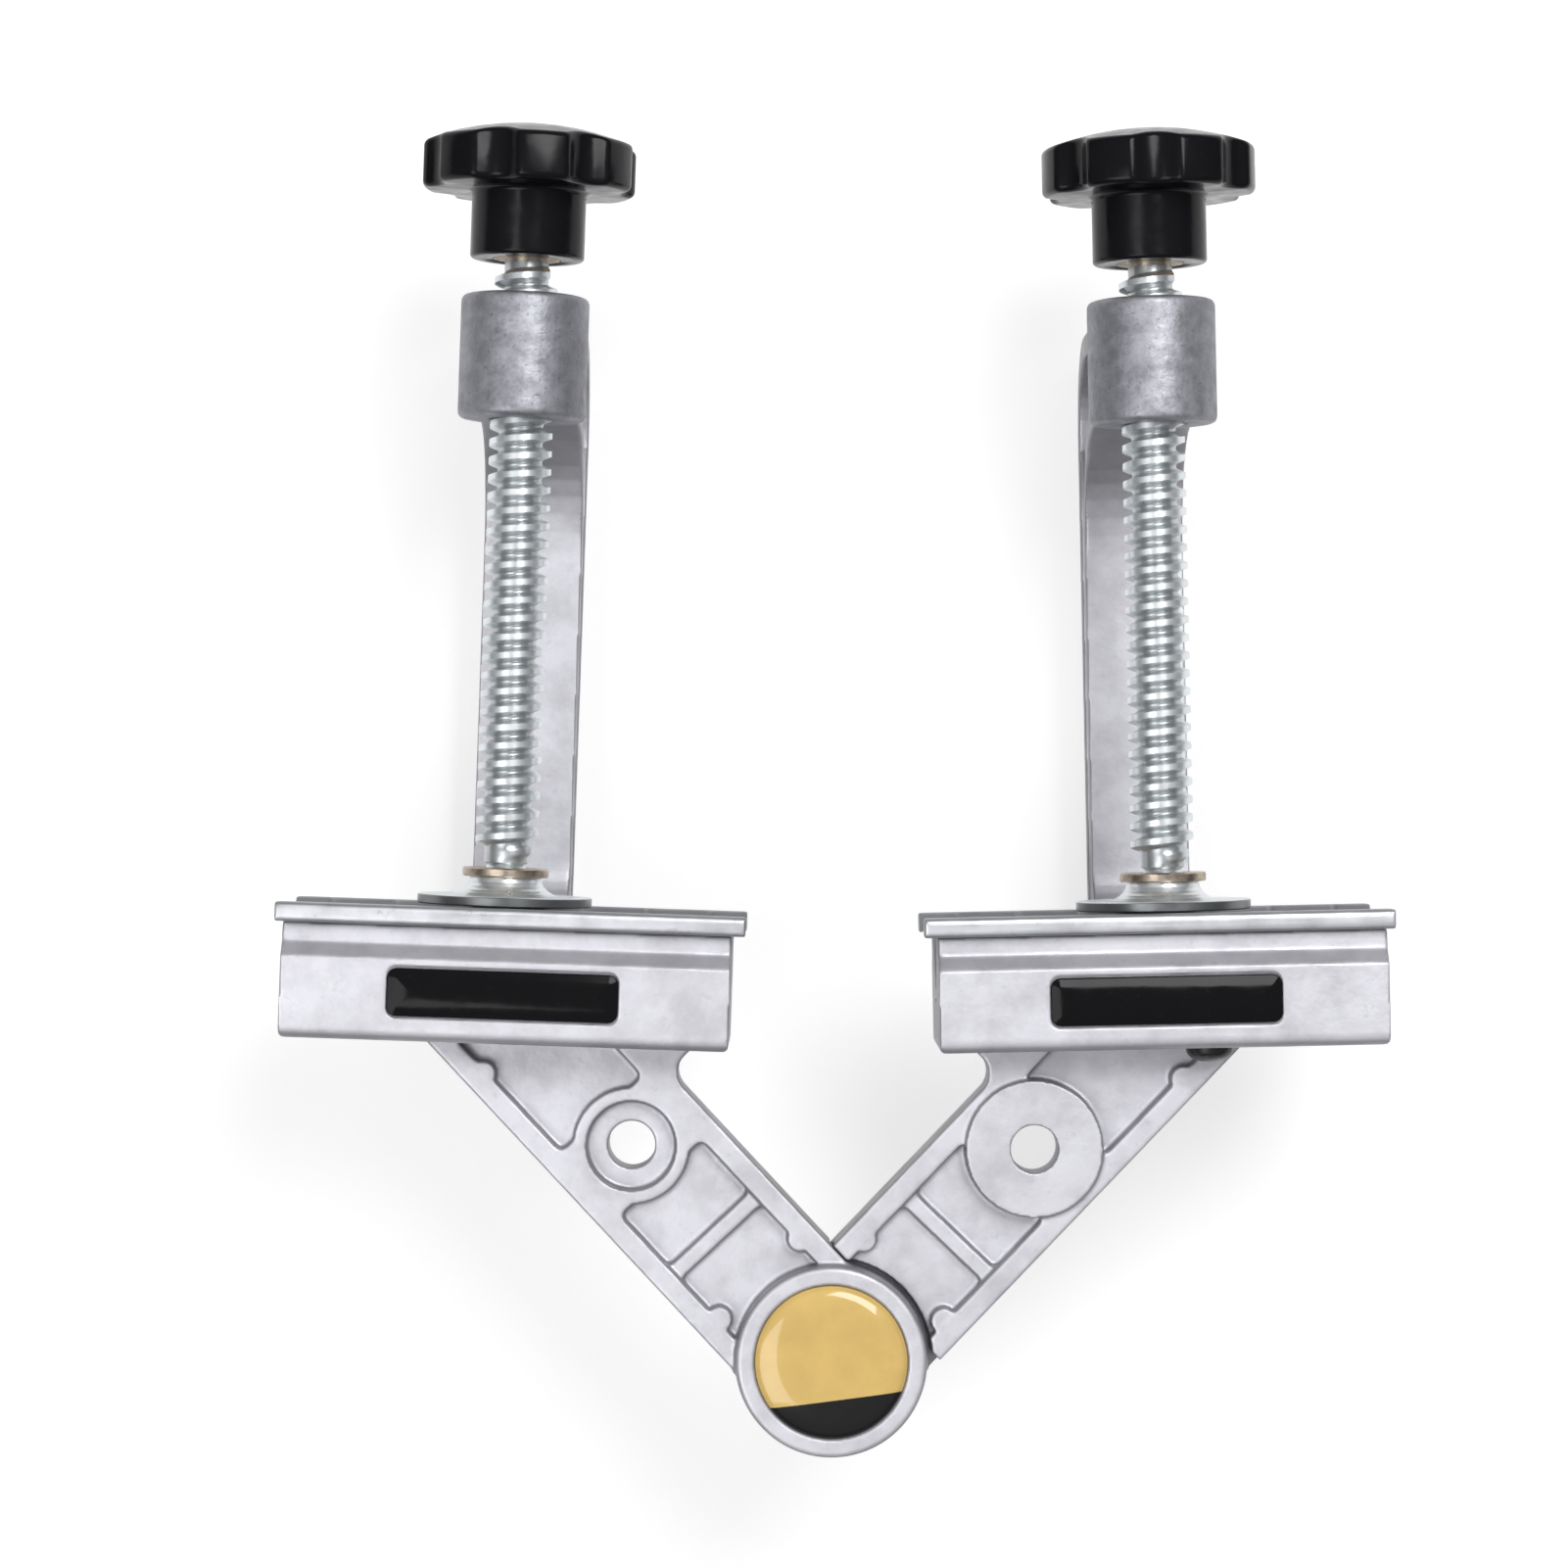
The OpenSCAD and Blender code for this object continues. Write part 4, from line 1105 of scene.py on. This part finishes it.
def make_lamp(name, place, size, power, target=(0, 0, 0.07)):
    """A square soft lamp that faces the clamp."""
    data = bpy.data.lights.new(name, "AREA")
    data.shape = "SQUARE"
    data.size = size
    data.energy = power
    lamp = bpy.data.objects.new(name, data)
    lamp.location = place
    lamp.rotation_euler = (Vector(target) - Vector(place)).to_track_quat("-Z", "Y").to_euler()
    bpy.context.scene.collection.objects.link(lamp)
    return lamp


ROOM_HORIZON = 0.12
ROOM_ZENITH = 0.38


def make_world():
    """A soft room, dim at the horizon and bright overhead."""
    world = bpy.data.worlds.new("studio")
    bpy.context.scene.world = world
    world.use_nodes = True
    tree = world.node_tree
    backdrop = tree.nodes["Background"]
    place = tree.nodes.new("ShaderNodeTexCoord").outputs["Generated"]
    axes = tree.nodes.new("ShaderNodeSeparateXYZ")
    tree.links.new(place, axes.inputs["Vector"])
    shade = tree.nodes.new("ShaderNodeMapRange")
    shade.interpolation_type = "SMOOTHSTEP"
    tree.links.new(axes.outputs["Z"], shade.inputs["Value"])
    shade.inputs["From Min"].default_value = 0.0
    shade.inputs["From Max"].default_value = 0.95
    shade.inputs["To Min"].default_value = ROOM_HORIZON
    shade.inputs["To Max"].default_value = ROOM_ZENITH
    tree.links.new(shade.outputs["Result"], backdrop.inputs["Strength"])
    backdrop.inputs["Color"].default_value = (1, 1, 1, 1)


CAMERA_X = -11.3 * MM
CAMERA_Y = 1.6 * MM
CAMERA_HEIGHT = 1.026
CAMERA_LENS = 98.1
CAMERA_ROLL = 0.4


def make_camera():
    """The camera straight above the clamp, as in the photograph."""
    data = bpy.data.cameras.new("camera")
    data.sensor_width = 36
    data.lens = CAMERA_LENS
    camera = bpy.data.objects.new("camera", data)
    camera.location = (CAMERA_X, CAMERA_Y, CAMERA_HEIGHT)
    camera.rotation_euler = (0, 0, math.radians(CAMERA_ROLL))
    bpy.context.scene.collection.objects.link(camera)
    bpy.context.scene.camera = camera


# Operators

class CLAMP_OT_castings(bpy.types.Operator):
    """Makes the two clamp frames and the two arms"""

    bl_idname = "clamp.castings"
    bl_label = "Castings"

    def execute(self, context):
        for side in SIDES:
            dress_frame(side)
            dress_arm(side)
        return {"FINISHED"}


class CLAMP_OT_v_plates(bpy.types.Operator):
    """Makes the V plates in the two jaws"""

    bl_idname = "clamp.v_plates"
    bl_label = "V Plates"

    def execute(self, context):
        for side in SIDES:
            dress_v_plate(side)
        return {"FINISHED"}


class CLAMP_OT_spindles(bpy.types.Operator):
    """Makes the two threaded spindles"""

    bl_idname = "clamp.spindles"
    bl_label = "Spindles"

    def execute(self, context):
        tree = thread_tree()
        for side in SIDES:
            make_spindle(side, tree)
        return {"FINISHED"}


class CLAMP_OT_knobs(bpy.types.Operator):
    """Makes the two star knobs"""

    bl_idname = "clamp.knobs"
    bl_label = "Knobs"

    def execute(self, context):
        make_knob("left", -15)
        make_knob("right", 0)
        return {"FINISHED"}


class CLAMP_OT_labels(bpy.types.Operator):
    """Makes the two jaw labels and the round label on the pivot"""

    bl_idname = "clamp.labels"
    bl_label = "Labels"

    def execute(self, context):
        for side in SIDES:
            make_jaw_label(side)
        make_round_label()
        return {"FINISHED"}


class CLAMP_OT_small_parts(bpy.types.Operator):
    """Finishes the pads, rings, inserts, screws and the pivot's hardware"""

    bl_idname = "clamp.small_parts"
    bl_label = "Small Parts"

    def execute(self, context):
        for side in SIDES:
            axis = spindle_frame(side).to_3x3().col[1]
            foot = spindle_frame(side).translation.dot(axis) + reach_along(side, f"{side}_pad")[0]
            repaint(f"{side}_pad", zinc_finish(f"{side}_pad_zinc", (tuple(axis), foot + PAD_EDGE)))
            repaint(f"{side}_pad_ring", ring_finish())
            repaint(f"{side}_knob_insert", brass_finish())
            repaint(f"{side}_arm_screw", screw_finish())
        for node in ("pivot_bolt", "pivot_nut", "pivot_washer_front", "pivot_washer_rear"):
            repaint(node, zinc_finish())
        repaint("friction_washer", washer_finish())
        return {"FINISHED"}


class CLAMP_OT_stage(bpy.types.Operator):
    """Makes the floor, the light and the camera"""

    bl_idname = "clamp.stage"
    bl_label = "Stage"

    def execute(self, context):
        make_floor()
        make_world()
        make_lamp("key", (0.32, 0.5, 1.15), 0.55, 8.2)
        make_lamp("fill", (-0.55, -0.3, 1.15), 0.7, 4.8)
        make_camera()
        context.scene.view_settings.view_transform = "Standard"
        return {"FINISHED"}


OPERATORS = (
    CLAMP_OT_castings, CLAMP_OT_v_plates, CLAMP_OT_spindles, CLAMP_OT_knobs,
    CLAMP_OT_labels, CLAMP_OT_small_parts, CLAMP_OT_stage,
)


class CLAMP_PT_panel(bpy.types.Panel):
    """Lists the clamp's pieces and settings"""

    bl_idname = "CLAMP_PT_panel"
    bl_label = "Corner Clamp"
    bl_space_type = "VIEW_3D"
    bl_region_type = "UI"
    bl_category = "Corner Clamp"

    def draw(self, context):
        for settings in (context.scene.clamp_sizes, context.scene.clamp_colours):
            box = self.layout.box()
            for name in settings.__annotations__:
                box.prop(settings, name)
        for operator in OPERATORS:
            self.layout.operator(operator.bl_idname)


CLASSES = (ClampSizes, ClampColours, *OPERATORS, CLAMP_PT_panel)


def register():
    """Registers the classes and the scene's settings."""
    for cls in CLASSES:
        bpy.utils.register_class(cls)
    bpy.types.Scene.clamp_sizes = PointerProperty(type=ClampSizes)
    bpy.types.Scene.clamp_colours = PointerProperty(type=ClampColours)


def unregister():
    """Removes what register added."""
    del bpy.types.Scene.clamp_colours
    del bpy.types.Scene.clamp_sizes
    for cls in reversed(CLASSES):
        bpy.utils.unregister_class(cls)


def main():
    """Makes every piece in turn."""
    register()
    bpy.ops.clamp.castings()
    bpy.ops.clamp.v_plates()
    bpy.ops.clamp.spindles()
    bpy.ops.clamp.knobs()
    bpy.ops.clamp.labels()
    bpy.ops.clamp.small_parts()
    bpy.ops.clamp.stage()


if __name__ == "__main__":
    main()
